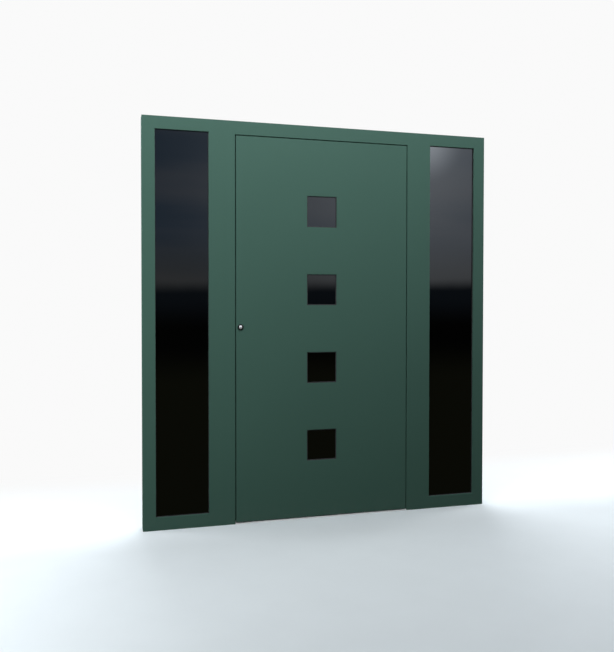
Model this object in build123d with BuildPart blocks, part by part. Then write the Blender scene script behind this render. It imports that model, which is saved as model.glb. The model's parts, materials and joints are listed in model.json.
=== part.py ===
from build123d import *
import os

# An aluminium front door with two glazed sidelights in one thermally broken frame.
# Millimetres. Seen from outside, X runs to the right, Y inwards and Z up.
# The origin is on the floor, in the middle of the threshold's length and of the frame's depth.

# Frame bars
FRAME_WIDTH = 2000.0
FRAME_HEIGHT = 2200.0
FRAME_DEPTH = 75.0
FRAME_FACE = 67.0
SILL_FACE = 70.0
MULLION_FACE = 143.0
DOOR_HEAD_FACE = 72.5
OUTER_SHELL_DEPTH = 22.0
INNER_SHELL_DEPTH = 35.0
SHELL_WALL = 2.0
LIP_HEIGHT = 14.0
LIP_DEPTH = 8.0
STRIP_WALL = 2.5
STRIP_INSET = 6.0
JOINT_GAP = 0.2
CLEAT_LEG = 70.0
TEE_LEG = 50.0
CLEAT_FIT = 0.2
FIXING_HOLE_R = 5.5
FIXING_END = 200.0
FIXING_SPACES = 3

# Threshold
THRESHOLD_HEIGHT = 8.0
THRESHOLD_NOSE = 3.0
THRESHOLD_RAMP = 14.0
GRIP_GROOVE_WIDTH = 2.0
GRIP_GROOVE_DEPTH = 0.8
GRIP_GROOVE_PITCH = 7.0
GRIP_GROOVES = 6

# Sidelight glazing
GLASS_EDGE_GAP = 4.0
OUTER_PANE = 6.0
MIDDLE_PANE = 4.0
INNER_PANE = 6.0
GLASS_CAVITY = 14.0
SPACER_INSET = 2.0
SPACER_WIDTH = 10.0
GLAZING_SEAL = 4.0
GLAZING_SEAL_SHOW = 3.0
BEAD_WALL = 1.5
SETTING_BLOCK_LENGTH = 80.0
SETTING_BLOCK_SHARES = (1 / 4, 3 / 4)

# Leaf
LEAF_WIDTH = 1000.0
LEAF_GAP = 5.5
LEAF_FLOOR_GAP = 11.0
LEAF_STEP = 13.0
REBATE_GAP = 8.0
STILE_WIDTH = 80.0
BOTTOM_RAIL_HEIGHT = 80.0
SHEET = 3.0
LEAF_OUTER_SHELL_DEPTH = 17.0
LEAF_INNER_SHELL_DEPTH = 34.0
STOP_SEAL = 6.0
STOP_SEAL_WIDTH = 10.0
STOP_SEAL_INSET = 1.0
STOP_SEAL_ROUND = 2.5
SOFT_GAP = 0.3
BOTTOM_SEAL_WIDTH = 9.0
BOTTOM_SEAL_SPACING = 20.0

# Square windows in the leaf
WINDOW_COUNT = 4
WINDOW_SIZE = 174.0
WINDOW_PITCH = 437.0
WINDOW_RISE = 2.0
WINDOW_OFFSET = 12.0
WINDOW_SEAL = 3.0
WINDOW_SEAL_SHOW = 5.0
WINDOW_PANE_LAP = 6.0
WINDOW_POCKET_GAP = 5.0
WINDOW_TRIM_FIT = 0.5

# Lock
BACKSET = 40.0
CYLINDER_HEIGHT = 1080.0
HANDLE_DROP = 92.0
FACEPLATE = 3.0
FACEPLATE_WIDTH = 24.0
FACEPLATE_END = 60.0
LOCK_PLANE = 55.0
CASE_THICKNESS = 16.0
CASE_TAIL = 15.0
CASE_END = 34.0
CASE_FIT = 0.2
BOLT_FIT = 0.3
BOLT_THICKNESS = 11.0
LATCH_HEIGHT = 32.0
LATCH_LENGTH = 25.0
LATCH_REACH = 12.0
LATCH_NOSE = 2.5
DEADBOLT_RISE = 34.0
DEADBOLT_HEIGHT = 22.0
DEADBOLT_THROW = 20.0
BOLT_GUIDE = 14.0
DEADBOLT_SINK = 0.5
BOLT_CORNER = 1.5
SIDE_BOLT_END = 325.0
SIDE_CASE_HEIGHT = 70.0
STRIKE = 2.0
STRIKE_END = 36.0
STRIKE_CLEAR = 1.5
DRIVE_ROD = 4.0
DRIVE_ROD_WIDTH = 12.0
DRIVE_ROD_SET_BACK = 18.0
DRIVE_ROD_TRAVEL = 12.0
DRIVE_ROD_LAP = 2.0
DRIVE_ROD_FIT = 0.3

# Cylinder and its roses
CYLINDER_R = 8.5
CYLINDER_TAIL_HALF = 5.0
CYLINDER_TAIL_DROP = 24.5
CYLINDER_FIT = 0.3
CYLINDER_OUT = 4.5
CYLINDER_IN = 6.0
PLUG_R = 6.5
RUN_FIT = 0.05
KEYWAY_WIDTH = 2.2
KEYWAY_HEIGHT = 8.5
KEYWAY_DEPTH = 24.0
CAM_WIDTH = 10.0
CAM_GAP = 0.5
CAM_NOSE_R = 13.5
CAM_NOSE_HALF = 4.0
OUTER_ROSE_R = 16.0
OUTER_ROSE = 5.0
OUTER_ROSE_EDGE = 2.0
INNER_ROSE_R = 26.0
INNER_ROSE = 8.0
INNER_ROSE_EDGE = 1.5
THUMB_R = 14.0
THUMB_HALF = 5.0
THUMB_LENGTH = 22.0
THUMB_COLLAR = 2.0
THUMB_EDGE = 1.5

# Lever handle
LEVER_R = 9.5
LEVER_STANDOFF = 52.0
LEVER_LENGTH = 125.0
LEVER_BEND = 22.0
LEVER_END = 3.0
SPINDLE = 8.0
FOLLOWER_R = 12.0
ROSE_FIT = 0.3

# Hinges
HINGE_COUNT = 3
HINGE_END = 230.0
HINGE_LENGTH = 120.0
HINGE_STANDOFF = 12.0
KNUCKLE_R = 10.0
KNUCKLE_GAP = 0.5
PIN_R = 5.0
PIN_HEAD = 4.0
PIN_HEAD_EDGE = 1.0
BUSH_WALL = 2.0
WING = 4.0
WING_WIDTH = 34.0
WING_CLEAR = 1.0
WING_EDGE = 1.5
KNUCKLES_PER_HINGE = 3

# Countersunk screws
SCREW_HEAD_R = 4.0
SCREW_R = 2.0
SCREW_CONE = 2.0
SCREW_LENGTH = 16.0
SCREW_FIT = 0.2
SCREW_SOCKET_R = 1.4
SCREW_SOCKET = 1.2
SOCKET_SIDES = 6
STRIKE_SCREW_END = 9.0
FACEPLATE_SCREW_END = 12.0
HINGE_SCREW_INSET = 13.0
HINGE_SCREW_PITCH = 40.0
SCREWS_PER_WING = 3

# Depths through the frame and the leaf
OUTER_Y = -FRAME_DEPTH / 2
INNER_Y = FRAME_DEPTH / 2
SHELL_BACK = OUTER_Y + OUTER_SHELL_DEPTH
INNER_FRONT = INNER_Y - INNER_SHELL_DEPTH
LIP_BACK = OUTER_Y + LIP_DEPTH
GLASS_FRONT = LIP_BACK + GLAZING_SEAL
GLASS_BACK = GLASS_FRONT + OUTER_PANE + MIDDLE_PANE + INNER_PANE + 2 * GLASS_CAVITY
BEAD_FRONT = GLASS_BACK + GLAZING_SEAL
LEAF_SHELL_FRONT = OUTER_Y + SHEET
LEAF_SHELL_BACK = LEAF_SHELL_FRONT + LEAF_OUTER_SHELL_DEPTH
LEAF_INNER_BACK = INNER_Y - SHEET
LEAF_INNER_FRONT = LEAF_INNER_BACK - LEAF_INNER_SHELL_DEPTH
LEAF_STEP_Y = SHELL_BACK + STOP_SEAL
LOCK_Y = OUTER_Y + LOCK_PLANE

# Edges across the frame, as distances from the middle
HALF_WIDTH = FRAME_WIDTH / 2
FRAME_BOX = FRAME_FACE - LIP_HEIGHT
JAMB_BOX_X = HALF_WIDTH - FRAME_BOX
JAMB_EDGE_X = HALF_WIDTH - FRAME_FACE
LEAF_HALF = LEAF_WIDTH / 2
LEAF_INNER_HALF = LEAF_HALF + LEAF_STEP
STOP_X = LEAF_HALF + LEAF_GAP
REBATE_X = LEAF_INNER_HALF + REBATE_GAP
MULLION_EDGE_X = STOP_X + MULLION_FACE
MULLION_BOX_X = MULLION_EDGE_X - LIP_HEIGHT
CORE_HALF = LEAF_HALF - STILE_WIDTH

# Heights
SILL_BOX = SILL_FACE - LIP_HEIGHT
HEAD_BOX_Z = FRAME_HEIGHT - FRAME_BOX
HEAD_EDGE_Z = FRAME_HEIGHT - FRAME_FACE
STOP_Z = FRAME_HEIGHT - DOOR_HEAD_FACE
LEAF_TOP = STOP_Z - LEAF_GAP
LEAF_INNER_TOP = LEAF_TOP + LEAF_STEP
CORE_BOTTOM = LEAF_FLOOR_GAP + BOTTOM_RAIL_HEIGHT
CORE_TOP = LEAF_TOP - STILE_WIDTH
FIXING_PITCH = (FRAME_HEIGHT - 2 * FIXING_END) / FIXING_SPACES

# Places of the lock and of the hinge axis
FACE_X = -LEAF_INNER_HALF - FACEPLATE
LOCK_X = FACE_X + BACKSET
HANDLE_Z = CYLINDER_HEIGHT - HANDLE_DROP
DEADBOLT_Z = CYLINDER_HEIGHT + DEADBOLT_RISE
DEADBOLT_LENGTH = DEADBOLT_THROW + BOLT_GUIDE
SIDE_BOLT_HEIGHTS = (LEAF_FLOOR_GAP + SIDE_BOLT_END, LEAF_TOP - SIDE_BOLT_END)
CASE_FRONT_X = -LEAF_INNER_HALF
CASE_BACK_X = LOCK_X + CASE_TAIL
HINGE_X = LEAF_INNER_HALF + REBATE_GAP / 2
HINGE_Y = INNER_Y + HINGE_STANDOFF
HINGE_PITCH = (LEAF_TOP - LEAF_FLOOR_GAP - 2 * HINGE_END) / (HINGE_COUNT - 1)
HINGE_HEIGHTS = [LEAF_FLOOR_GAP + HINGE_END + i * HINGE_PITCH for i in range(HINGE_COUNT)]

# Drive rods as lowest and highest ends, with the bolts drawn back
DRIVE_RODS = (
    (
        SIDE_BOLT_HEIGHTS[0] + SIDE_CASE_HEIGHT / 2 - DRIVE_ROD_TRAVEL - DRIVE_ROD_LAP,
        HANDLE_Z - CASE_END + DRIVE_ROD_LAP,
    ),
    (
        DEADBOLT_Z + CASE_END - DRIVE_ROD_TRAVEL - DRIVE_ROD_LAP,
        SIDE_BOLT_HEIGHTS[1] - SIDE_CASE_HEIGHT / 2 + DRIVE_ROD_LAP,
    ),
)

# Middles of the screw heads, in X, Y and Z
STRIKES = ((HANDLE_Z, DEADBOLT_Z), *((z, z) for z in SIDE_BOLT_HEIGHTS))
STRIKE_SCREWS = [
    (-REBATE_X + STRIKE, LOCK_Y, z)
    for low, high in STRIKES
    for z in (low - STRIKE_END + STRIKE_SCREW_END, high + STRIKE_END - STRIKE_SCREW_END)
]
FACEPLATE_SCREWS = [
    (FACE_X, LOCK_Y, SIDE_BOLT_HEIGHTS[0] - FACEPLATE_END + FACEPLATE_SCREW_END),
    (FACE_X, LOCK_Y, (SIDE_BOLT_HEIGHTS[0] + HANDLE_Z) / 2),
    (FACE_X, LOCK_Y, (SIDE_BOLT_HEIGHTS[1] + DEADBOLT_Z) / 2),
    (FACE_X, LOCK_Y, SIDE_BOLT_HEIGHTS[1] + FACEPLATE_END - FACEPLATE_SCREW_END),
]
HINGE_SCREW_REACH = KNUCKLE_R + WING_CLEAR + WING_WIDTH - HINGE_SCREW_INSET
HINGE_SCREW_RISES = [
    (i - (SCREWS_PER_WING - 1) / 2) * HINGE_SCREW_PITCH for i in range(SCREWS_PER_WING)
]
FRAME_HINGE_SCREWS, LEAF_HINGE_SCREWS = (
    [(x, INNER_Y + WING, z + rise) for z in HINGE_HEIGHTS for rise in HINGE_SCREW_RISES]
    for x in (HINGE_X + HINGE_SCREW_REACH, HINGE_X - HINGE_SCREW_REACH)
)

WINDOW_X = -WINDOW_OFFSET
WINDOW_MIDDLE = (LEAF_FLOOR_GAP + LEAF_TOP) / 2 + WINDOW_RISE
WINDOW_HEIGHTS = [
    WINDOW_MIDDLE + (i - (WINDOW_COUNT - 1) / 2) * WINDOW_PITCH for i in range(WINDOW_COUNT)
]
WINDOW_PANE = WINDOW_SIZE + 2 * WINDOW_PANE_LAP
WINDOW_POCKET = WINDOW_PANE + 2 * WINDOW_POCKET_GAP
WINDOW_FRONT = LEAF_SHELL_FRONT + WINDOW_SEAL


def rectangle(u0, u1, v0, v1):
    """The corners of a rectangle, in order."""
    (u0, u1), (v0, v1) = sorted((u0, u1)), sorted((v0, v1))
    return [(u0, v0), (u1, v0), (u1, v1), (u0, v1)]


def along_z(z):
    """The level plane at a height, for sections of upright bars."""
    return Plane.XY.offset(z)


def along_x(x):
    """The plane across X at a place, for sections of level bars in Y and Z."""
    return Plane.YZ.offset(x)


def hollow_bar(plane, points, length, wall=SHELL_WALL):
    """Add a closed hollow extrusion to the part in hand."""
    with BuildSketch(plane) as section:
        with BuildLine():
            Polyline(*points, close=True)
        make_face()
        offset(amount=-wall, kind=Kind.INTERSECTION, mode=Mode.SUBTRACT)
    extrude(section.sketch, amount=length)


def solid_bar(plane, points, length, mode=Mode.ADD):
    """Add or cut a full extrusion of an outline."""
    with BuildSketch(plane) as section:
        with BuildLine():
            Polyline(*points, close=True)
        make_face()
    extrude(section.sketch, amount=length, mode=mode)


def slab(x0, x1, y0, y1, z0, z1, mode=Mode.ADD):
    """Add or cut a flat piece between two planes of each axis."""
    solid_bar(along_z(z0), rectangle(x0, x1, y0, y1), z1 - z0, mode)


def ring(outer, inner, y0, y1):
    """Add a flat frame in X and Z, from its outer and inner outlines."""
    with BuildSketch(Plane.XZ.offset(-y0)) as section:
        with BuildLine():
            Polyline(*rectangle(*outer), close=True)
        make_face()
        with BuildLine():
            Polyline(*rectangle(*inner), close=True)
        make_face(mode=Mode.SUBTRACT)
    extrude(section.sketch, amount=y0 - y1)


def square(size, height, x=WINDOW_X):
    """The outline of a square that is centred on a window."""
    return (x - size / 2, x + size / 2, height - size / 2, height + size / 2)


def round_bar(radius, x, z, y0, y1, mode=Mode.ADD):
    """Add or cut a round bar that runs through the leaf."""
    with BuildSketch(Plane.XZ.offset(-y0)) as section:
        with Locations((x, z)):
            Circle(radius)
    extrude(section.sketch, amount=y0 - y1, mode=mode)


def mitre(half, height, side):
    """The plane of a mitre through an upper corner, facing the middle of the bar above."""
    return Plane(origin=(side * half, 0, height), z_dir=(-side, 0, 1))


def pane_depths(front):
    """The front and back of each pane and each cavity of a sealed unit."""
    depths, y = [], front
    for thickness in (OUTER_PANE, GLASS_CAVITY, MIDDLE_PANE, GLASS_CAVITY, INNER_PANE):
        depths.append((y, y + thickness))
        y += thickness
    return depths[0::2], depths[1::2]


def inset(outline, amount):
    """An outline moved inwards on all four sides."""
    x0, x1, z0, z1 = outline
    return (x0 + amount, x1 - amount, z0 + amount, z1 - amount)


def screws(places, inward, fit=0, mode=Mode.ADD):
    """Add countersunk socket screws, or cut their holes, from the middles of their heads inwards."""
    rise = (Align.CENTER, Align.CENTER, Align.MIN)
    for place in places:
        seat = Plane(origin=place, z_dir=inward)
        with Locations(seat):
            Cone(SCREW_HEAD_R + fit, SCREW_R + fit, SCREW_CONE, align=rise, mode=mode)
            Cylinder(SCREW_R + fit, SCREW_LENGTH + fit, align=rise, mode=mode)
        if mode == Mode.ADD:
            with BuildSketch(seat) as socket:
                RegularPolygon(SCREW_SOCKET_R, SOCKET_SIDES)
            extrude(socket.sketch, amount=SCREW_SOCKET, mode=Mode.SUBTRACT)


def drive_rods(fit=0, travel=0, mode=Mode.ADD):
    """Add the rods between the lock cases, or cut the room that they move in."""
    rod_x = (FACE_X + DRIVE_ROD_SET_BACK - fit, FACE_X + DRIVE_ROD_SET_BACK + DRIVE_ROD + fit)
    half = DRIVE_ROD_WIDTH / 2 + fit
    for low, high in DRIVE_RODS:
        slab(*rod_x, LOCK_Y - half, LOCK_Y + half, low - fit, high + travel + fit, mode)


# Frame bars, each an outer and an inner aluminium shell

with BuildPart() as head:
    for y0, y1 in ((OUTER_Y, SHELL_BACK), (INNER_FRONT, INNER_Y)):
        hollow_bar(along_x(-HALF_WIDTH), rectangle(y0, y1, HEAD_BOX_Z, FRAME_HEIGHT), FRAME_WIDTH)
    for x in (-JAMB_BOX_X, MULLION_EDGE_X):
        lip = rectangle(OUTER_Y, LIP_BACK, HEAD_EDGE_Z, HEAD_BOX_Z)
        hollow_bar(along_x(x), lip, JAMB_BOX_X - MULLION_EDGE_X)
    door_stop = rectangle(OUTER_Y, SHELL_BACK, STOP_Z, HEAD_BOX_Z)
    hollow_bar(along_x(-STOP_X), door_stop, 2 * STOP_X)
    for side in (-1, 1):
        split(bisect_by=mitre(HALF_WIDTH, FRAME_HEIGHT, side), keep=Keep.TOP)

with BuildPart() as left_jamb:
    for y0, y1 in ((OUTER_Y, SHELL_BACK), (INNER_FRONT, INNER_Y)):
        hollow_bar(along_z(0), rectangle(-HALF_WIDTH, -JAMB_BOX_X, y0, y1), FRAME_HEIGHT)
    lip = rectangle(-JAMB_BOX_X, -JAMB_EDGE_X, OUTER_Y, LIP_BACK)
    hollow_bar(along_z(SILL_BOX), lip, FRAME_HEIGHT - SILL_BOX)
    split(bisect_by=mitre(HALF_WIDTH, FRAME_HEIGHT, -1), keep=Keep.BOTTOM)
    with BuildSketch(along_x(-HALF_WIDTH)):
        with Locations(((INNER_FRONT + INNER_Y) / 2, FRAME_HEIGHT / 2)):
            with GridLocations(FRAME_DEPTH, FIXING_PITCH, 1, FIXING_SPACES + 1):
                Circle(FIXING_HOLE_R)
    extrude(amount=FRAME_BOX, mode=Mode.SUBTRACT)

with BuildPart() as right_jamb:
    mirror(left_jamb.part, about=Plane.YZ)

with BuildPart() as plain_mullion:
    outer_box = rectangle(MULLION_BOX_X, STOP_X, OUTER_Y, SHELL_BACK)
    inner_box = rectangle(MULLION_BOX_X, REBATE_X, INNER_FRONT, INNER_Y)
    for box in (outer_box, inner_box):
        hollow_bar(along_z(0), box, HEAD_BOX_Z)
    lip = rectangle(MULLION_BOX_X, MULLION_EDGE_X, OUTER_Y, LIP_BACK)
    hollow_bar(along_z(SILL_BOX), lip, HEAD_BOX_Z - SILL_BOX)


def bolt_pockets(x0, x1, clear):
    """Cut the openings that the latch and the bolts pass through, between two places in X."""
    half = BOLT_THICKNESS / 2 + clear
    latch = (HANDLE_Z, LATCH_HEIGHT)
    bolts = [(z, DEADBOLT_HEIGHT) for z in (DEADBOLT_Z, *SIDE_BOLT_HEIGHTS)]
    for z, height in (latch, *bolts):
        low, high = z - height / 2 - clear, z + height / 2 + clear
        slab(x0, x1, LOCK_Y - half, LOCK_Y + half, low, high, Mode.SUBTRACT)


with BuildPart() as left_mullion:
    mirror(plain_mullion.part, about=Plane.YZ)
    bolt_pockets(-REBATE_X - SHELL_WALL, -REBATE_X, STRIKE_CLEAR)
    screws(STRIKE_SCREWS, (-1, 0, 0), SCREW_FIT, Mode.SUBTRACT)

with BuildPart() as right_mullion:
    add(plain_mullion.part)
    screws(FRAME_HINGE_SCREWS, (0, -1, 0), SCREW_FIT, Mode.SUBTRACT)

with BuildPart() as left_sill:
    for y0, y1 in ((OUTER_Y, SHELL_BACK), (INNER_FRONT, INNER_Y)):
        box = rectangle(y0, y1, 0, SILL_BOX)
        hollow_bar(along_x(-JAMB_BOX_X), box, JAMB_BOX_X - MULLION_BOX_X)
    lip = rectangle(OUTER_Y, LIP_BACK, SILL_BOX, SILL_FACE)
    hollow_bar(along_x(-JAMB_EDGE_X), lip, JAMB_EDGE_X - MULLION_EDGE_X)

with BuildPart() as right_sill:
    mirror(left_sill.part, about=Plane.YZ)

# Polyamide strips that join the two shells of each bar, butted at the corners

with BuildPart() as frame_thermal_strips:
    break_y = (SHELL_BACK, INNER_FRONT)
    outer_u = (STRIP_INSET, STRIP_INSET + STRIP_WALL)
    inner_u = (FRAME_BOX - STRIP_INSET, FRAME_BOX - STRIP_INSET - STRIP_WALL)
    for near, far in (outer_u, (inner_u[1], inner_u[0])):
        half = HALF_WIDTH - far - JOINT_GAP
        slab(-half, half, *break_y, FRAME_HEIGHT - far, FRAME_HEIGHT - near)
        for side in (-1, 1):
            edges_x = (side * (HALF_WIDTH - near), side * (HALF_WIDTH - far))
            slab(*edges_x, *break_y, 0, FRAME_HEIGHT - near)
    for side in (-1, 1):
        for x in (REBATE_X + STRIP_INSET, MULLION_BOX_X - STRIP_INSET - STRIP_WALL):
            slab(side * x, side * (x + STRIP_WALL), *break_y, 0, HEAD_BOX_Z)
        for z in (STRIP_INSET, SILL_BOX - STRIP_INSET - STRIP_WALL):
            sill_x = (side * JAMB_BOX_X, side * MULLION_BOX_X)
            slab(*sill_x, *break_y, z, z + STRIP_WALL)

# Blocks that join the bars, inside their chambers

CHAMBER_IN = SHELL_WALL + CLEAT_FIT
CHAMBERS = (
    (OUTER_Y + CHAMBER_IN, SHELL_BACK - CHAMBER_IN),
    (INNER_FRONT + CHAMBER_IN, INNER_Y - CHAMBER_IN),
)

with BuildPart() as corner_cleats:
    x_far, x_near = HALF_WIDTH - CHAMBER_IN, JAMB_BOX_X + CHAMBER_IN
    z_high, z_low = FRAME_HEIGHT - CHAMBER_IN, HEAD_BOX_Z + CHAMBER_IN
    leg_x, leg_z = JAMB_BOX_X - CLEAT_LEG, HEAD_BOX_Z - CLEAT_LEG
    angle = [(x_far, leg_z), (x_near, leg_z), (x_near, z_low), (leg_x, z_low), (leg_x, z_high)]
    for side in (-1, 1):
        outline = [(side * x, z) for x, z in (*angle, (x_far, z_high))]
        for y0, y1 in CHAMBERS:
            with BuildSketch(Plane.XZ.offset(-y0)) as section:
                with BuildLine():
                    Polyline(*outline, close=True)
                make_face()
            extrude(section.sketch, amount=y1 - y0, dir=(0, 1, 0))

with BuildPart() as tee_connectors:
    for side in (-1, 1):
        for (y0, y1), door_x in zip(CHAMBERS, (STOP_X, REBATE_X)):
            mullion_x = (side * (door_x + CHAMBER_IN), side * (MULLION_BOX_X - CHAMBER_IN))
            slab(*mullion_x, y0, y1, HEAD_BOX_Z - TEE_LEG, HEAD_BOX_Z)
            for x0, x1 in ((JAMB_BOX_X, JAMB_BOX_X - TEE_LEG), (MULLION_BOX_X, MULLION_BOX_X + TEE_LEG)):
                slab(side * x0, side * x1, y0, y1, CHAMBER_IN, SILL_BOX - CHAMBER_IN)

with BuildPart() as threshold:
    ramp_y = OUTER_Y + THRESHOLD_RAMP
    outline = [(OUTER_Y, 0), (INNER_Y, 0), (INNER_Y, THRESHOLD_HEIGHT), (ramp_y, THRESHOLD_HEIGHT)]
    solid_bar(along_x(-STOP_X), [*outline, (OUTER_Y, THRESHOLD_NOSE)], 2 * STOP_X)
    for i in range(GRIP_GROOVES):
        y = ramp_y + (i + 1) * GRIP_GROOVE_PITCH
        groove_z = (THRESHOLD_HEIGHT - GRIP_GROOVE_DEPTH, THRESHOLD_HEIGHT)
        slab(-STOP_X, STOP_X, y, y + GRIP_GROOVE_WIDTH, *groove_z, Mode.SUBTRACT)

# Sidelight glazing, made for the left and mirrored to the right

GLASS_OUTLINE = (
    -JAMB_BOX_X + GLASS_EDGE_GAP,
    -MULLION_BOX_X - GLASS_EDGE_GAP,
    SILL_BOX + GLASS_EDGE_GAP,
    HEAD_BOX_Z - GLASS_EDGE_GAP,
)
DAYLIGHT = (-JAMB_EDGE_X, -MULLION_EDGE_X, SILL_FACE, HEAD_EDGE_Z)
SEAL_EDGE = inset(DAYLIGHT, GLAZING_SEAL_SHOW)
PANES, CAVITIES = pane_depths(GLASS_FRONT)

with BuildPart() as left_panes:
    for y0, y1 in PANES:
        x0, x1, z0, z1 = GLASS_OUTLINE
        slab(x0, x1, y0, y1, z0, z1)

with BuildPart() as left_spacers:
    outer = inset(GLASS_OUTLINE, SPACER_INSET)
    for y0, y1 in CAVITIES:
        ring(outer, inset(outer, SPACER_WIDTH), y0, y1)

with BuildPart() as left_outer_gasket:
    ring(GLASS_OUTLINE, SEAL_EDGE, LIP_BACK, GLASS_FRONT)

with BuildPart() as left_inner_gasket:
    ring(GLASS_OUTLINE, SEAL_EDGE, GLASS_BACK, BEAD_FRONT)

with BuildPart() as left_beads:
    bead_height = HEAD_BOX_Z - SILL_BOX
    for x0, x1 in ((-JAMB_BOX_X, -JAMB_EDGE_X), (-MULLION_EDGE_X, -MULLION_BOX_X)):
        hollow_bar(along_z(SILL_BOX), rectangle(x0, x1, BEAD_FRONT, INNER_Y), bead_height, BEAD_WALL)
    for z0, z1 in ((SILL_BOX, SILL_FACE), (HEAD_EDGE_Z, HEAD_BOX_Z)):
        bead = rectangle(BEAD_FRONT, INNER_Y, z0, z1)
        length = JAMB_EDGE_X - MULLION_EDGE_X - 2 * JOINT_GAP
        hollow_bar(along_x(-JAMB_EDGE_X + JOINT_GAP), bead, length, BEAD_WALL)

with BuildPart() as right_panes:
    mirror(left_panes.part, about=Plane.YZ)

with BuildPart() as right_spacers:
    mirror(left_spacers.part, about=Plane.YZ)

with BuildPart() as right_outer_gasket:
    mirror(left_outer_gasket.part, about=Plane.YZ)

with BuildPart() as right_inner_gasket:
    mirror(left_inner_gasket.part, about=Plane.YZ)

with BuildPart() as right_beads:
    mirror(left_beads.part, about=Plane.YZ)

with BuildPart() as setting_blocks:
    for side in (-1, 1):
        for share in SETTING_BLOCK_SHARES:
            x = side * (MULLION_EDGE_X + share * (JAMB_EDGE_X - MULLION_EDGE_X))
            block_x = (x - SETTING_BLOCK_LENGTH / 2, x + SETTING_BLOCK_LENGTH / 2)
            slab(*block_x, GLASS_FRONT, GLASS_BACK, SILL_BOX, SILL_BOX + GLASS_EDGE_GAP)

# Seal on the frame's stop, round three sides of the leaf

with BuildPart() as stop_gasket:
    near, top = STOP_X + STOP_SEAL_INSET, STOP_Z + STOP_SEAL_INSET
    far, high = near + STOP_SEAL_WIDTH, top + STOP_SEAL_WIDTH
    left = [(-far, THRESHOLD_HEIGHT), (-near, THRESHOLD_HEIGHT), (-near, top)]
    right = [(near, top), (near, THRESHOLD_HEIGHT), (far, THRESHOLD_HEIGHT)]
    with BuildSketch(Plane.XZ.offset(-SHELL_BACK)) as section:
        with BuildLine():
            Polyline(*left, *right, (far, high), (-far, high), close=True)
        make_face()
    extrude(section.sketch, amount=STOP_SEAL - SOFT_GAP, dir=(0, 1, 0))
    fillet(faces().sort_by(Axis.Y)[-1].edges(), STOP_SEAL_ROUND)

# Leaf bars, mitred at the top and butted at the bottom

with BuildPart() as plain_stile:
    outer_box = rectangle(-LEAF_HALF, -CORE_HALF, LEAF_SHELL_FRONT, LEAF_SHELL_BACK)
    step = [(-LEAF_INNER_HALF, LEAF_STEP_Y), (-LEAF_HALF, LEAF_STEP_Y), (-LEAF_HALF, LEAF_INNER_FRONT)]
    body = [(-CORE_HALF, LEAF_INNER_FRONT), (-CORE_HALF, LEAF_INNER_BACK)]
    inner_outline = [*step, *body, (-LEAF_INNER_HALF, LEAF_INNER_BACK)]
    for outline in (outer_box, inner_outline):
        hollow_bar(along_z(LEAF_FLOOR_GAP), outline, LEAF_INNER_TOP - LEAF_FLOOR_GAP)
    split(bisect_by=mitre(LEAF_INNER_HALF, LEAF_INNER_TOP, -1), keep=Keep.BOTTOM)

with BuildPart() as hinge_stile:
    mirror(plain_stile.part, about=Plane.YZ)
    screws(LEAF_HINGE_SCREWS, (0, -1, 0), SCREW_FIT, Mode.SUBTRACT)

with BuildPart() as top_rail:
    outer_box = rectangle(LEAF_SHELL_FRONT, LEAF_SHELL_BACK, CORE_TOP, LEAF_TOP)
    body = [(LEAF_INNER_FRONT, CORE_TOP), (LEAF_INNER_BACK, CORE_TOP), (LEAF_INNER_BACK, LEAF_INNER_TOP)]
    step = [(LEAF_STEP_Y, LEAF_INNER_TOP), (LEAF_STEP_Y, LEAF_TOP), (LEAF_INNER_FRONT, LEAF_TOP)]
    for outline in (outer_box, [*body, *step]):
        hollow_bar(along_x(-LEAF_INNER_HALF), outline, 2 * LEAF_INNER_HALF)
    for side in (-1, 1):
        split(bisect_by=mitre(LEAF_INNER_HALF, LEAF_INNER_TOP, side), keep=Keep.TOP)

with BuildPart() as bottom_rail:
    for y0, y1 in ((LEAF_SHELL_FRONT, LEAF_SHELL_BACK), (LEAF_INNER_FRONT, LEAF_INNER_BACK)):
        outline = rectangle(y0, y1, LEAF_FLOOR_GAP, CORE_BOTTOM)
        hollow_bar(along_x(-CORE_HALF), outline, 2 * CORE_HALF)

with BuildPart() as leaf_thermal_strips:
    break_y = (LEAF_SHELL_BACK, LEAF_INNER_FRONT)
    outer_u = (STRIP_INSET, STRIP_INSET + STRIP_WALL)
    inner_u = (STILE_WIDTH - STRIP_INSET - STRIP_WALL, STILE_WIDTH - STRIP_INSET)
    for near, far in (outer_u, inner_u):
        half = LEAF_HALF - far - JOINT_GAP
        slab(-half, half, *break_y, LEAF_TOP - far, LEAF_TOP - near)
        for side in (-1, 1):
            edges_x = (side * (LEAF_HALF - near), side * (LEAF_HALF - far))
            slab(*edges_x, *break_y, LEAF_FLOOR_GAP, LEAF_TOP - near)
    for z in (LEAF_FLOOR_GAP + STRIP_INSET, CORE_BOTTOM - STRIP_INSET - STRIP_WALL):
        slab(-CORE_HALF, CORE_HALF, *break_y, z, z + STRIP_WALL)


def cylinder_profile(y0, y1, clear, mode=Mode.ADD):
    """Add or cut the keyhole-shaped body of the lock cylinder."""
    with BuildSketch(Plane.XZ.offset(-y0)) as section:
        with Locations((LOCK_X, CYLINDER_HEIGHT)):
            Circle(CYLINDER_R + clear)
        with BuildLine():
            half, foot = CYLINDER_TAIL_HALF + clear, CYLINDER_HEIGHT - CYLINDER_TAIL_DROP - clear
            Polyline(*rectangle(LOCK_X - half, LOCK_X + half, foot, CYLINDER_HEIGHT), close=True)
        make_face()
    extrude(section.sketch, amount=y0 - y1, mode=mode)


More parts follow.
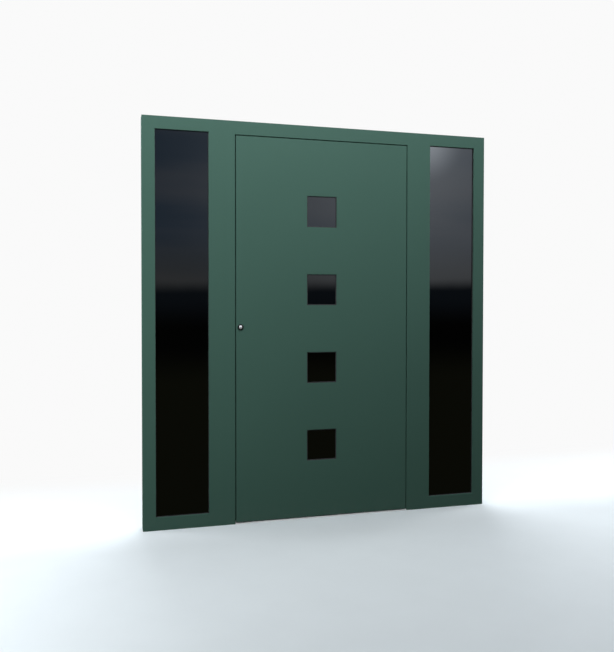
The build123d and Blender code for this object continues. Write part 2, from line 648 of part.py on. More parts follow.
with BuildPart() as lock_stile:
    add(plain_stile.part)
    edge_x = (-LEAF_INNER_HALF, -LEAF_INNER_HALF + SHELL_WALL)
    half = CASE_THICKNESS / 2 + CASE_FIT
    for low, high in (
        (HANDLE_Z - CASE_END, DEADBOLT_Z + CASE_END),
        *((z - SIDE_CASE_HEIGHT / 2, z + SIDE_CASE_HEIGHT / 2) for z in SIDE_BOLT_HEIGHTS),
    ):
        case_z = (low - CASE_FIT, high + CASE_FIT)
        slab(*edge_x, LOCK_Y - half, LOCK_Y + half, *case_z, Mode.SUBTRACT)
    cylinder_profile(LEAF_SHELL_FRONT, LEAF_INNER_BACK, CYLINDER_FIT, Mode.SUBTRACT)
    round_bar(LEVER_R + ROSE_FIT, LOCK_X, HANDLE_Z, LOCK_Y, LEAF_INNER_BACK, Mode.SUBTRACT)
    screws(FACEPLATE_SCREWS, (1, 0, 0), SCREW_FIT, Mode.SUBTRACT)

# Sheets, core and square windows of the leaf

with BuildPart() as outer_sheet:
    slab(-LEAF_HALF, LEAF_HALF, OUTER_Y, LEAF_SHELL_FRONT, LEAF_FLOOR_GAP, LEAF_TOP)
    for z in WINDOW_HEIGHTS:
        x0, x1, z0, z1 = square(WINDOW_SIZE, z)
        slab(x0, x1, OUTER_Y, LEAF_SHELL_FRONT, z0, z1, Mode.SUBTRACT)
    hole_r = CYLINDER_R + CYLINDER_FIT
    round_bar(hole_r, LOCK_X, CYLINDER_HEIGHT, OUTER_Y, LEAF_SHELL_FRONT, Mode.SUBTRACT)

with BuildPart() as inner_sheet:
    slab(-LEAF_INNER_HALF, LEAF_INNER_HALF, LEAF_INNER_BACK, INNER_Y, LEAF_FLOOR_GAP, LEAF_INNER_TOP)
    for z in WINDOW_HEIGHTS:
        x0, x1, z0, z1 = square(WINDOW_SIZE, z)
        slab(x0, x1, LEAF_INNER_BACK, INNER_Y, z0, z1, Mode.SUBTRACT)
    cylinder_profile(LEAF_INNER_BACK, INNER_Y, CYLINDER_FIT, Mode.SUBTRACT)
    round_bar(LEVER_R + ROSE_FIT, LOCK_X, HANDLE_Z, LEAF_INNER_BACK, INNER_Y, Mode.SUBTRACT)
    screws(LEAF_HINGE_SCREWS, (0, -1, 0), SCREW_FIT, Mode.SUBTRACT)

with BuildPart() as insulation_core:
    slab(-CORE_HALF, CORE_HALF, LEAF_SHELL_FRONT, LEAF_INNER_BACK, CORE_BOTTOM, CORE_TOP)
    for z in WINDOW_HEIGHTS:
        x0, x1, z0, z1 = square(WINDOW_POCKET, z)
        slab(x0, x1, LEAF_SHELL_FRONT, LEAF_INNER_BACK, z0, z1, Mode.SUBTRACT)

WINDOW_PANES, WINDOW_CAVITIES = pane_depths(WINDOW_FRONT)
window_panes = []
for height in WINDOW_HEIGHTS:
    with BuildPart() as unit:
        x0, x1, z0, z1 = square(WINDOW_PANE, height)
        for y0, y1 in WINDOW_PANES:
            slab(x0, x1, y0, y1, z0, z1)
    window_panes.append(unit)

with BuildPart() as window_spacers:
    for height in WINDOW_HEIGHTS:
        outer = inset(square(WINDOW_PANE, height), SPACER_INSET)
        for y0, y1 in WINDOW_CAVITIES:
            ring(outer, inset(outer, SPACER_WIDTH), y0, y1)

with BuildPart() as window_seals:
    for height in WINDOW_HEIGHTS:
        show = inset(square(WINDOW_SIZE, height), WINDOW_SEAL_SHOW)
        ring(square(WINDOW_PANE, height), show, LEAF_SHELL_FRONT, WINDOW_FRONT)

with BuildPart() as window_trims:
    for height in WINDOW_HEIGHTS:
        outer = inset(square(WINDOW_POCKET, height), WINDOW_TRIM_FIT)
        ring(outer, square(WINDOW_SIZE, height), WINDOW_PANES[-1][1], LEAF_INNER_BACK)

with BuildPart() as bottom_seal:
    for y in (-BOTTOM_SEAL_SPACING / 2, BOTTOM_SEAL_SPACING / 2):
        seal_y = (y - BOTTOM_SEAL_WIDTH / 2, y + BOTTOM_SEAL_WIDTH / 2)
        seal_z = (THRESHOLD_HEIGHT + SOFT_GAP, LEAF_FLOOR_GAP)
        slab(-CORE_HALF, CORE_HALF, *seal_y, *seal_z)

# Lock

with BuildPart() as lock_faceplate:
    plate_y = (LOCK_Y - FACEPLATE_WIDTH / 2, LOCK_Y + FACEPLATE_WIDTH / 2)
    plate_z = (SIDE_BOLT_HEIGHTS[0] - FACEPLATE_END, SIDE_BOLT_HEIGHTS[1] + FACEPLATE_END)
    slab(FACE_X, CASE_FRONT_X, *plate_y, *plate_z)
    bolt_pockets(FACE_X, CASE_FRONT_X, BOLT_FIT)
    screws(FACEPLATE_SCREWS, (1, 0, 0), SCREW_FIT, Mode.SUBTRACT)

with BuildPart() as main_lock_case:
    case_y = (LOCK_Y - CASE_THICKNESS / 2, LOCK_Y + CASE_THICKNESS / 2)
    slab(CASE_FRONT_X, CASE_BACK_X, *case_y, HANDLE_Z - CASE_END, DEADBOLT_Z + CASE_END)
    bolt_tail_x = FACE_X + DEADBOLT_SINK + DEADBOLT_LENGTH + BOLT_FIT
    bolt_pockets(CASE_FRONT_X, bolt_tail_x, BOLT_FIT)
    cylinder_profile(*case_y, CYLINDER_FIT, Mode.SUBTRACT)
    round_bar(CAM_NOSE_R + CAM_GAP, LOCK_X, CYLINDER_HEIGHT, LOCK_Y - CAM_WIDTH / 2 - CAM_GAP,
              LOCK_Y + CAM_WIDTH / 2 + CAM_GAP, Mode.SUBTRACT)
    round_bar(FOLLOWER_R + ROSE_FIT, LOCK_X, HANDLE_Z, *case_y, Mode.SUBTRACT)
    drive_rods(DRIVE_ROD_FIT, DRIVE_ROD_TRAVEL, Mode.SUBTRACT)

with BuildPart() as side_lock_cases:
    for z in SIDE_BOLT_HEIGHTS:
        slab(CASE_FRONT_X, CASE_BACK_X, *case_y, z - SIDE_CASE_HEIGHT / 2, z + SIDE_CASE_HEIGHT / 2)
    bolt_pockets(CASE_FRONT_X, bolt_tail_x, BOLT_FIT)
    drive_rods(DRIVE_ROD_FIT, DRIVE_ROD_TRAVEL, Mode.SUBTRACT)

with BuildPart() as lock_drive_rods:
    drive_rods()

with BuildPart() as latch_bolt:
    tip, tail = FACE_X - LATCH_REACH, FACE_X - LATCH_REACH + LATCH_LENGTH
    y0, y1 = LOCK_Y - BOLT_THICKNESS / 2, LOCK_Y + BOLT_THICKNESS / 2
    outline = [(tail, y0), (tail, y1), (tip, y1), (tip, y1 - LATCH_NOSE), (FACE_X, y0)]
    solid_bar(along_z(HANDLE_Z - LATCH_HEIGHT / 2), outline, LATCH_HEIGHT)


def bolt(height):
    """Add a square-headed bolt, drawn back into its case."""
    front = FACE_X + DEADBOLT_SINK
    bolt_y = (LOCK_Y - BOLT_THICKNESS / 2, LOCK_Y + BOLT_THICKNESS / 2)
    outline = rectangle(front, front + DEADBOLT_LENGTH, *bolt_y)
    solid_bar(along_z(height - DEADBOLT_HEIGHT / 2), outline, DEADBOLT_HEIGHT)


with BuildPart() as deadbolt:
    bolt(DEADBOLT_Z)
    chamfer(faces().sort_by(Axis.X)[0].edges(), BOLT_CORNER)

with BuildPart() as side_bolts:
    for z in SIDE_BOLT_HEIGHTS:
        bolt(z)
    chamfer(faces().group_by(Axis.X)[0].edges(), BOLT_CORNER)

with BuildPart() as main_strike:
    strike_y = (LOCK_Y - FACEPLATE_WIDTH / 2, LOCK_Y + FACEPLATE_WIDTH / 2)
    slab(-REBATE_X, -REBATE_X + STRIKE, *strike_y, HANDLE_Z - STRIKE_END, DEADBOLT_Z + STRIKE_END)
    bolt_pockets(-REBATE_X, -REBATE_X + STRIKE, STRIKE_CLEAR)
    screws(STRIKE_SCREWS, (-1, 0, 0), SCREW_FIT, Mode.SUBTRACT)

with BuildPart() as side_strikes:
    for z in SIDE_BOLT_HEIGHTS:
        slab(-REBATE_X, -REBATE_X + STRIKE, *strike_y, z - STRIKE_END, z + STRIKE_END)
    bolt_pockets(-REBATE_X, -REBATE_X + STRIKE, STRIKE_CLEAR)
    screws(STRIKE_SCREWS, (-1, 0, 0), SCREW_FIT, Mode.SUBTRACT)

# Cylinder, plug, thumb turn and roses

CAM_Y = (LOCK_Y - CAM_WIDTH / 2, LOCK_Y + CAM_WIDTH / 2)
CYLINDER_FRONT = OUTER_Y - CYLINDER_OUT
CYLINDER_BACK = INNER_Y + CYLINDER_IN

with BuildPart() as lock_cylinder:
    cylinder_profile(LEAF_SHELL_FRONT, CYLINDER_BACK, 0)
    round_bar(CYLINDER_R, LOCK_X, CYLINDER_HEIGHT, CYLINDER_FRONT, LEAF_SHELL_FRONT)
    bore_y = (CYLINDER_FRONT, CYLINDER_BACK)
    round_bar(PLUG_R + RUN_FIT, LOCK_X, CYLINDER_HEIGHT, *bore_y, Mode.SUBTRACT)
    round_bar(CAM_NOSE_R + CAM_GAP, LOCK_X, CYLINDER_HEIGHT, CAM_Y[0] - CAM_GAP, CAM_Y[1] + CAM_GAP,
              Mode.SUBTRACT)

with BuildPart() as key_plug:
    round_bar(PLUG_R, LOCK_X, CYLINDER_HEIGHT, CYLINDER_FRONT, CAM_Y[0] - CAM_GAP)
    key_x = (LOCK_X - KEYWAY_WIDTH / 2, LOCK_X + KEYWAY_WIDTH / 2)
    key_z = (CYLINDER_HEIGHT - KEYWAY_HEIGHT / 2, CYLINDER_HEIGHT + KEYWAY_HEIGHT / 2)
    key_y = (CYLINDER_FRONT, CYLINDER_FRONT + KEYWAY_DEPTH)
    slab(*key_x, *key_y, *key_z, Mode.SUBTRACT)

with BuildPart() as thumb_turn:
    knob_y = INNER_Y + INNER_ROSE + CAM_GAP
    round_bar(PLUG_R, LOCK_X, CYLINDER_HEIGHT, CAM_Y[0], knob_y)
    nose_x = (LOCK_X - CAM_NOSE_HALF, LOCK_X + CAM_NOSE_HALF)
    slab(*nose_x, *CAM_Y, CYLINDER_HEIGHT, CYLINDER_HEIGHT + CAM_NOSE_R - CAM_GAP)
    round_bar(THUMB_R, LOCK_X, CYLINDER_HEIGHT, knob_y, knob_y + THUMB_LENGTH)
    for side in (-1, 1):
        flat_x = (LOCK_X + side * THUMB_HALF, LOCK_X + side * THUMB_R)
        flat_y = (knob_y + THUMB_COLLAR, knob_y + THUMB_LENGTH)
        flat_z = (CYLINDER_HEIGHT - THUMB_R, CYLINDER_HEIGHT + THUMB_R)
        slab(*flat_x, *flat_y, *flat_z, Mode.SUBTRACT)
    chamfer(faces().sort_by(Axis.Y)[-1].edges(), THUMB_EDGE)

with BuildPart() as outer_rose:
    round_bar(OUTER_ROSE_R, LOCK_X, CYLINDER_HEIGHT, OUTER_Y - OUTER_ROSE, OUTER_Y)
    chamfer(faces().sort_by(Axis.Y)[0].edges(), OUTER_ROSE_EDGE)
    rose_y = (OUTER_Y - OUTER_ROSE, OUTER_Y)
    round_bar(CYLINDER_R + CYLINDER_FIT, LOCK_X, CYLINDER_HEIGHT, *rose_y, Mode.SUBTRACT)

with BuildPart() as inner_roses:
    rose_y = (INNER_Y, INNER_Y + INNER_ROSE)
    for z in (HANDLE_Z, CYLINDER_HEIGHT):
        round_bar(INNER_ROSE_R, LOCK_X, z, *rose_y)
    fillet(faces().group_by(Axis.Y)[-1].edges(), INNER_ROSE_EDGE)
    round_bar(LEVER_R + ROSE_FIT, LOCK_X, HANDLE_Z, *rose_y, Mode.SUBTRACT)
    cylinder_profile(*rose_y, CYLINDER_FIT, Mode.SUBTRACT)

with BuildPart() as lever_handle:
    neck_y, grip_y = INNER_Y + SOFT_GAP, INNER_Y + LEVER_STANDOFF
    with BuildLine() as path:
        corners = [(LOCK_X, neck_y), (LOCK_X, grip_y), (LOCK_X + LEVER_LENGTH, grip_y)]
        FilletPolyline(*corners, radius=LEVER_BEND)
    with BuildSketch(Plane.XZ.offset(-neck_y)) as section:
        with Locations((LOCK_X, HANDLE_Z)):
            Circle(LEVER_R)
    sweep(section.sketch, path=Pos(0, 0, HANDLE_Z) * path.line)
    fillet(faces().sort_by(Axis.X)[-1].edges(), LEVER_END)
    spindle_x = (LOCK_X - SPINDLE / 2, LOCK_X + SPINDLE / 2)
    spindle_z = (HANDLE_Z - SPINDLE / 2, HANDLE_Z + SPINDLE / 2)
    slab(*spindle_x, case_y[0], neck_y, *spindle_z)
    round_bar(FOLLOWER_R, LOCK_X, HANDLE_Z, *case_y)

# Hinges: two knuckles on the frame, one on the leaf, on a shared pin

KNUCKLE = HINGE_LENGTH / KNUCKLES_PER_HINGE


def knuckle(side, z, bore):
    """Add one knuckle and the web that ties it to its wing, then bore it."""
    length = KNUCKLE - KNUCKLE_GAP
    wing_x = HINGE_X + side * (KNUCKLE_R + WING_CLEAR)
    with BuildSketch(along_z(z - length / 2)) as section:
        with Locations((HINGE_X, HINGE_Y)):
            Circle(KNUCKLE_R)
        with BuildLine():
            Polyline(*rectangle(HINGE_X, wing_x, INNER_Y, HINGE_Y), close=True)
        make_face()
        with Locations((HINGE_X, HINGE_Y)):
            Circle(bore, mode=Mode.SUBTRACT)
    extrude(section.sketch, amount=length)


def wing(side, z):
    """Add the flat wing of a hinge."""
    near = HINGE_X + side * (KNUCKLE_R + WING_CLEAR)
    far = near + side * WING_WIDTH
    half = HINGE_LENGTH / 2
    slab(near, far, INNER_Y, INNER_Y + WING, z - half, z + half)


with BuildPart() as frame_hinge_wings:
    for z in HINGE_HEIGHTS:
        wing(1, z)
        for level in (-1, 1):
            knuckle(1, z + level * KNUCKLE, PIN_R + RUN_FIT)
    chamfer(faces().sort_by(Axis.X)[-HINGE_COUNT:].edges().filter_by(Axis.Y), WING_EDGE)
    screws(FRAME_HINGE_SCREWS, (0, -1, 0), SCREW_FIT, Mode.SUBTRACT)

BUSH_R = PIN_R + RUN_FIT + BUSH_WALL

with BuildPart() as leaf_hinge_wings:
    for z in HINGE_HEIGHTS:
        wing(-1, z)
        knuckle(-1, z, BUSH_R + RUN_FIT)
    chamfer(faces().sort_by(Axis.X)[:HINGE_COUNT].edges().filter_by(Axis.Y), WING_EDGE)
    screws(LEAF_HINGE_SCREWS, (0, -1, 0), SCREW_FIT, Mode.SUBTRACT)

with BuildPart() as hinge_bushes:
    for z in HINGE_HEIGHTS:
        bush = KNUCKLE - KNUCKLE_GAP
        with BuildSketch(along_z(z - bush / 2)) as section:
            with Locations((HINGE_X, HINGE_Y)):
                Circle(BUSH_R)
                Circle(PIN_R + RUN_FIT, mode=Mode.SUBTRACT)
        extrude(section.sketch, amount=bush)

with BuildPart() as hinge_pins:
    for z in HINGE_HEIGHTS:
        top = z + HINGE_LENGTH / 2
        with BuildSketch(along_z(z - HINGE_LENGTH / 2)) as shank:
            with Locations((HINGE_X, HINGE_Y)):
                Circle(PIN_R)
        extrude(shank.sketch, amount=HINGE_LENGTH)
        with BuildSketch(along_z(top)) as cap:
            with Locations((HINGE_X, HINGE_Y)):
                Circle(KNUCKLE_R)
        extrude(cap.sketch, amount=PIN_HEAD)
        chamfer(edges().sort_by(Axis.Z)[-1], PIN_HEAD_EDGE)

# Screws of the strikes, the lock and the hinges

with BuildPart() as frame_screws:
    screws(STRIKE_SCREWS, (-1, 0, 0))
    screws(FRAME_HINGE_SCREWS, (0, -1, 0))

with BuildPart() as leaf_screws:
    screws(FACEPLATE_SCREWS, (1, 0, 0))
    screws(LEAF_HINGE_SCREWS, (0, -1, 0))

NODES = {
    "head": head,
    "left_jamb": left_jamb,
    "right_jamb": right_jamb,
    "left_mullion": left_mullion,
    "right_mullion": right_mullion,
    "left_sill": left_sill,
    "right_sill": right_sill,
    "frame_thermal_strips": frame_thermal_strips,
    "corner_cleats": corner_cleats,
    "tee_connectors": tee_connectors,
    "threshold": threshold,
    "left_panes": left_panes,
    "right_panes": right_panes,
    "left_spacers": left_spacers,
    "right_spacers": right_spacers,
    "left_outer_gasket": left_outer_gasket,
    "right_outer_gasket": right_outer_gasket,
    "left_inner_gasket": left_inner_gasket,
    "right_inner_gasket": right_inner_gasket,
    "left_beads": left_beads,
    "right_beads": right_beads,
    "setting_blocks": setting_blocks,
    "stop_gasket": stop_gasket,
    "main_strike": main_strike,
    "side_strikes": side_strikes,
    "frame_hinge_wings": frame_hinge_wings,
    "hinge_pins": hinge_pins,
    "frame_screws": frame_screws,
    "lock_stile": lock_stile,
    "hinge_stile": hinge_stile,
    "top_rail": top_rail,
    "bottom_rail": bottom_rail,
    "leaf_thermal_strips": leaf_thermal_strips,
    "outer_sheet": outer_sheet,
    "inner_sheet": inner_sheet,
    "insulation_core": insulation_core,
    "window_spacers": window_spacers,
    "window_seals": window_seals,
    "window_trims": window_trims,
    "bottom_seal": bottom_seal,
    "lock_faceplate": lock_faceplate,
    "main_lock_case": main_lock_case,
    "side_lock_cases": side_lock_cases,
    "lock_drive_rods": lock_drive_rods,
    "latch_bolt": latch_bolt,
    "deadbolt": deadbolt,
    "side_bolts": side_bolts,
    "lock_cylinder": lock_cylinder,
    "key_plug": key_plug,
    "thumb_turn": thumb_turn,
    "outer_rose": outer_rose,
    "inner_roses": inner_roses,
    "lever_handle": lever_handle,
    "leaf_hinge_wings": leaf_hinge_wings,
    "hinge_bushes": hinge_bushes,
    "leaf_screws": leaf_screws,
}
for number, unit in enumerate(window_panes, start=1):
    NODES[f"window_panes_{number}"] = unit

os.makedirs("parts", exist_ok=True)
for label, node in NODES.items():
    node.part.label = label
    export_step(node.part, f"parts/{label}.step")
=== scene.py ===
import json
import logging
import math
from dataclasses import dataclass
from enum import Enum
from typing import Any, Sequence, Union

import bpy
import numpy as np
from mathutils import Matrix, Vector


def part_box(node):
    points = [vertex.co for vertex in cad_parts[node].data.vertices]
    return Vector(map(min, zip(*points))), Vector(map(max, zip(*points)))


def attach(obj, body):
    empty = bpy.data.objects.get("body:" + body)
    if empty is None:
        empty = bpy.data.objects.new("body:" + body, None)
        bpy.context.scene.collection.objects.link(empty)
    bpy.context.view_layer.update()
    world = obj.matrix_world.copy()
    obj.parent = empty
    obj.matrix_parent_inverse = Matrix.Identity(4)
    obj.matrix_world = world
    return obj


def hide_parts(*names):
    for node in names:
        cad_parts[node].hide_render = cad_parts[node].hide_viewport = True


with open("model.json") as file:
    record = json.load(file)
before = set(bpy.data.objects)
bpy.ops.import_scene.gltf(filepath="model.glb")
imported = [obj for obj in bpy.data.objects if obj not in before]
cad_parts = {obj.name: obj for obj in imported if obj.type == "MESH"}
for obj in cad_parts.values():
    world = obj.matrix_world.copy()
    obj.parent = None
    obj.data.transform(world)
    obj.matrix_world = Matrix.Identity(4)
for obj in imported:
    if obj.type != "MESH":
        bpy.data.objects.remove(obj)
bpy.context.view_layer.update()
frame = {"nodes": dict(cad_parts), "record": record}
LOG = logging.getLogger("front_door")
BEVEL_SAMPLES = 4
SHARP_ANGLE = 40.0
TINY = 1e-9

Colour = tuple[float, float, float]
Triple = tuple[float, float, float]
Span = tuple[float, float]
Number = Union[int, float]


# Shader expressions


class Flow:
    """A shader socket that takes part in Python expressions."""

    def __init__(self, graph: "Graph", socket: bpy.types.NodeSocket) -> None:
        """Keep the graph that the socket belongs to."""
        self.graph = graph
        self.socket = socket

    def math(self, operation: str, *values: Union["Flow", Number]) -> "Flow":
        """Add one Math node.

        Args:
            operation: The Math node's operation.
            values: Its inputs in order.

        Returns:
            The node's result.
        """
        return self.graph.node("ShaderNodeMath", {"operation": operation}, dict(enumerate(values)))

    def __add__(self, other: Union["Flow", Number]) -> "Flow":
        """Sum."""
        return self.math("ADD", self, other)

    __radd__ = __add__

    def __sub__(self, other: Union["Flow", Number]) -> "Flow":
        """Difference."""
        return self.math("SUBTRACT", self, other)

    def __rsub__(self, other: Number) -> "Flow":
        """Difference from a number."""
        return self.math("SUBTRACT", other, self)

    def __mul__(self, other: Union["Flow", Number]) -> "Flow":
        """Product."""
        return self.math("MULTIPLY", self, other)

    __rmul__ = __mul__

    def root(self) -> "Flow":
        """Square root."""
        return self.math("SQRT", self)

    def largest(self, other: "Flow") -> "Flow":
        """The larger of two values."""
        return self.math("MAXIMUM", self, other)

    def around(self, spread: float) -> "Flow":
        """A value from 0 to 1 made into a change about nought, of this much from end to end."""
        return (self - 0.5) * spread

    def ramp(self, low: float, high: float) -> "Flow":
        """A smooth step.

        Args:
            low: The value that gives 0.
            high: The value that gives 1; it may be below low.

        Returns:
            A value from 0 to 1.
        """
        limits = {"Value": self, "From Min": low, "From Max": high}
        return self.graph.node("ShaderNodeMapRange", {"interpolation_type": "SMOOTHSTEP"}, limits)


class Graph:
    """The node tree of one material or of the world."""

    def __init__(self, tree: bpy.types.NodeTree) -> None:
        """Start with an empty tree."""
        self.tree = tree
        tree.nodes.clear()

    @staticmethod
    def _find(sockets: Any, key: Union[int, str]) -> bpy.types.NodeSocket:
        """Look up a socket.

        Args:
            sockets: A node's inputs or outputs.
            key: A number, or the name of a socket in use.

        Returns:
            The socket.
        """
        if isinstance(key, int):
            return sockets[key]
        return next(socket for socket in sockets if socket.enabled and socket.name == key)

    def node(
        self,
        kind: str,
        settings: Union[dict[str, Any], None] = None,
        inputs: Union[dict[Union[int, str], Any], None] = None,
        output: Union[int, str] = 0,
    ) -> Flow:
        """Add any node.

        Args:
            kind: The node's type.
            settings: Its properties, which are set first.
            inputs: Values or flows by socket name or number.
            output: The output that is returned.

        Returns:
            That output.
        """
        made = self.tree.nodes.new(kind)
        for name, value in (settings or {}).items():
            setattr(made, name, value)
        for key, value in (inputs or {}).items():
            socket = self._find(made.inputs, key)
            if isinstance(value, Flow):
                self.tree.links.new(value.socket, socket)
            elif isinstance(value, tuple) and len(value) == 3 and socket.type == "RGBA":
                socket.default_value = (*value, 1.0)
            else:
                socket.default_value = value
        if not made.outputs:
            return Flow(self, made.inputs[0])
        return Flow(self, self._find(made.outputs, output))

    def place(self) -> Flow:
        """The point on the piece, in metres, in its own frame."""
        return self.node("ShaderNodeTexCoord", output="Object")

    def axes(self, vector: Flow) -> tuple[Flow, Flow, Flow]:
        """Take a vector apart.

        Args:
            vector: Any vector.

        Returns:
            Its parts along X, Y and Z.
        """
        split = self.node("ShaderNodeSeparateXYZ", inputs={0: vector})
        outputs = split.socket.node.outputs
        return Flow(self, outputs[0]), Flow(self, outputs[1]), Flow(self, outputs[2])

    def vector(self, operation: str, first: Flow, second: Triple) -> Flow:
        """A vector changed by another, axis by axis."""
        return self.node("ShaderNodeVectorMath", {"operation": operation}, {0: first, 1: second})

    def noise(self, vector: Flow, scale: float, detail: float) -> Flow:
        """Cloud noise from 0 to 1 with this many cells a metre."""
        return self.node("ShaderNodeTexNoise", inputs={"Vector": vector, "Scale": scale, "Detail": detail})

    def streaks(self, vector: Flow, cells: Triple, detail: float) -> Flow:
        """Cloud noise with its own number of cells a metre along each axis."""
        return self.noise(self.vector("MULTIPLY", vector, cells), 1.0, detail)

    def cells(self, vector: Flow, scale: float) -> Flow:
        """Distance to the nearest of scattered points."""
        return self.node("ShaderNodeTexVoronoi", inputs={"Vector": vector, "Scale": scale})

    def blend(self, share: Union[Flow, float], first: Any, second: Any, mode: str = "MIX") -> Flow:
        """Mix two colours.

        Args:
            share: How much of the second.
            first: A colour or a flow.
            second: A colour or a flow.
            mode: The way of mixing.

        Returns:
            The mixed colour.
        """
        settings = {"data_type": "RGBA", "blend_type": mode}
        return self.node("ShaderNodeMix", settings, {"Factor": share, "A": first, "B": second}, "Result")

    def tint(self, colour: Any, level: Flow) -> Flow:
        """A colour times a level."""
        return self.blend(1.0, colour, level, "MULTIPLY")

    def eased(self, radius: float) -> Flow:
        """The normal of a piece whose edges are rounded by a radius."""
        return self.node("ShaderNodeBevel", {"samples": BEVEL_SAMPLES}, {"Radius": radius})

    def bump(self, height: Flow, distance: float, normal: Union[Flow, None] = None) -> Flow:
        """Lift the surface by a height.

        Args:
            height: A value from 0 to 1.
            distance: How many metres a height of 1 is.
            normal: The normal to start from, where it isn't the mesh's own.

        Returns:
            The normal that follows the height.
        """
        inputs = {"Height": height, "Distance": distance, "Strength": 1.0}
        if normal is not None:
            inputs["Normal"] = normal
        return self.node("ShaderNodeBump", None, inputs)

    def surface(self, **inputs: Any) -> Flow:
        """A Principled shader; an underscore in a name stands for a space."""
        named = {name.replace("_", " "): value for name, value in inputs.items()}
        return self.node("ShaderNodeBsdfPrincipled", None, named)

    def emission(self, colour: Any) -> Flow:
        """A shader that shines with a colour."""
        return self.node("ShaderNodeEmission", None, {"Color": colour, "Strength": 1.0})

    def end(self, shader: Flow) -> None:
        """Send a shader to the output.

        Args:
            shader: What the material or the world shows.
        """
        in_world = isinstance(self.tree.id_data, bpy.types.World)
        kind = "ShaderNodeOutputWorld" if in_world else "ShaderNodeOutputMaterial"
        self.node(kind, None, {"Surface": shader})


def start_material(name: str) -> tuple[bpy.types.Material, Graph]:
    """Make a material with nodes.

    Args:
        name: The material's name.

    Returns:
        The material and its empty graph.
    """
    material = bpy.data.materials.new(name)
    material.use_nodes = True
    return material, Graph(material.node_tree)


# Finishes

# A scale is in cells of noise a metre, a shade is a share of the colour and a gloss is an amount of
# roughness. A relief and an edge radius are in metres.


class Slot(Enum):
    """The record's material slots."""

    COAT = "green_coat"
    POLYAMIDE = "polyamide"
    MILL = "mill_aluminium"
    ANODISED = "silver_anodised"
    GLASS = "dark_glass"
    SPACER = "spacer_black"
    RUBBER = "black_rubber"
    PLASTIC = "grey_plastic"
    FOAM = "foam"
    STAINLESS = "stainless"
    ZINC = "zinc_steel"
    NICKEL = "nickel_brass"
    ROSE = "dark_rose"


class Grain(Enum):
    """The way that a metal is brushed, as cells of noise a metre along X, Y and Z."""

    ALONG_X = (6.0, 900.0, 900.0)
    ALONG_Z = (900.0, 900.0, 6.0)


@dataclass(frozen=True)
class Finish:
    """What all finishes have: a name and a way to make the material."""

    name: str

    def build(self) -> bpy.types.Material:
        """Make the material."""
        raise NotImplementedError


@dataclass(frozen=True)
class PowderCoat(Finish):
    """Satin powder coating: fine grain, orange peel, eased edges and a little dust low down."""

    colour: Colour
    roughness: float = 0.5
    specular: float = 0.1
    ior: float = 1.5
    edge_radius: float = 0.0007
    relief: float = 0.00007
    cloud_scale: float = 2.2
    peel_scale: float = 210.0
    grain_scale: float = 1500.0
    cloud_shade: float = 0.06
    grain_shade: float = 0.16
    gloss: float = 0.05
    dust: Colour = (0.14, 0.16, 0.15)
    dust_scale: float = 26.0
    dust_patches: Span = (0.35, 0.75)
    dust_height: float = 0.16
    dust_share: float = 0.1
    dust_gloss: float = 0.25

    def build(self) -> bpy.types.Material:
        """Grain shifts the colour, peel and grain lift the surface, and dust fades with height.

        Returns:
            The material.
        """
        material, graph = start_material(self.name)
        place = graph.place()
        height = graph.axes(place)[2]
        clouds = graph.noise(place, self.cloud_scale, detail=3.0)
        peel = graph.noise(place, self.peel_scale, detail=1.0)
        grain = graph.noise(place, self.grain_scale, detail=1.0)
        level = 1.0 + clouds.around(self.cloud_shade) + grain.around(self.grain_shade)
        paint = graph.tint(self.colour, level)
        patches = graph.noise(place, self.dust_scale, detail=4.0).ramp(*self.dust_patches)
        settled = height.ramp(self.dust_height, 0.0) * patches
        colour = graph.blend(settled * self.dust_share, paint, self.dust)
        rough = self.roughness + (clouds + grain) * self.gloss + settled * self.dust_gloss
        normal = graph.bump((peel + grain) * 0.5, self.relief, graph.eased(self.edge_radius))
        base = {"IOR": self.ior, "Specular_IOR_Level": self.specular}
        graph.end(graph.surface(Base_Color=colour, Roughness=rough, Normal=normal, **base))
        return material


@dataclass(frozen=True)
class BrushedMetal(Finish):
    """Bare metal with fine scratches along one axis."""

    colour: Colour
    grain: Grain
    roughness: float
    metallic: float = 1.0
    edge_radius: float = 0.0004
    relief: float = 0.00002
    handling_scale: float = 30.0
    scratch_shade: float = 0.24
    scratch_gloss: float = 0.14
    handling_gloss: float = 0.08
    polish: float = 0.1

    def build(self) -> bpy.types.Material:
        """Stretched noise makes the scratches, and clouds of handling change the gloss.

        Returns:
            The material.
        """
        material, graph = start_material(self.name)
        place = graph.place()
        scratch = graph.streaks(place, self.grain.value, detail=4.0)
        handled = graph.noise(place, self.handling_scale, detail=3.0)
        colour = graph.tint(self.colour, 1.0 + scratch.around(self.scratch_shade))
        dull = scratch * self.scratch_gloss + handled * self.handling_gloss
        rough = self.roughness - self.polish + dull
        normal = graph.bump(scratch, self.relief, graph.eased(self.edge_radius))
        graph.end(graph.surface(Base_Color=colour, Roughness=rough, Metallic=self.metallic, Normal=normal))
        return material


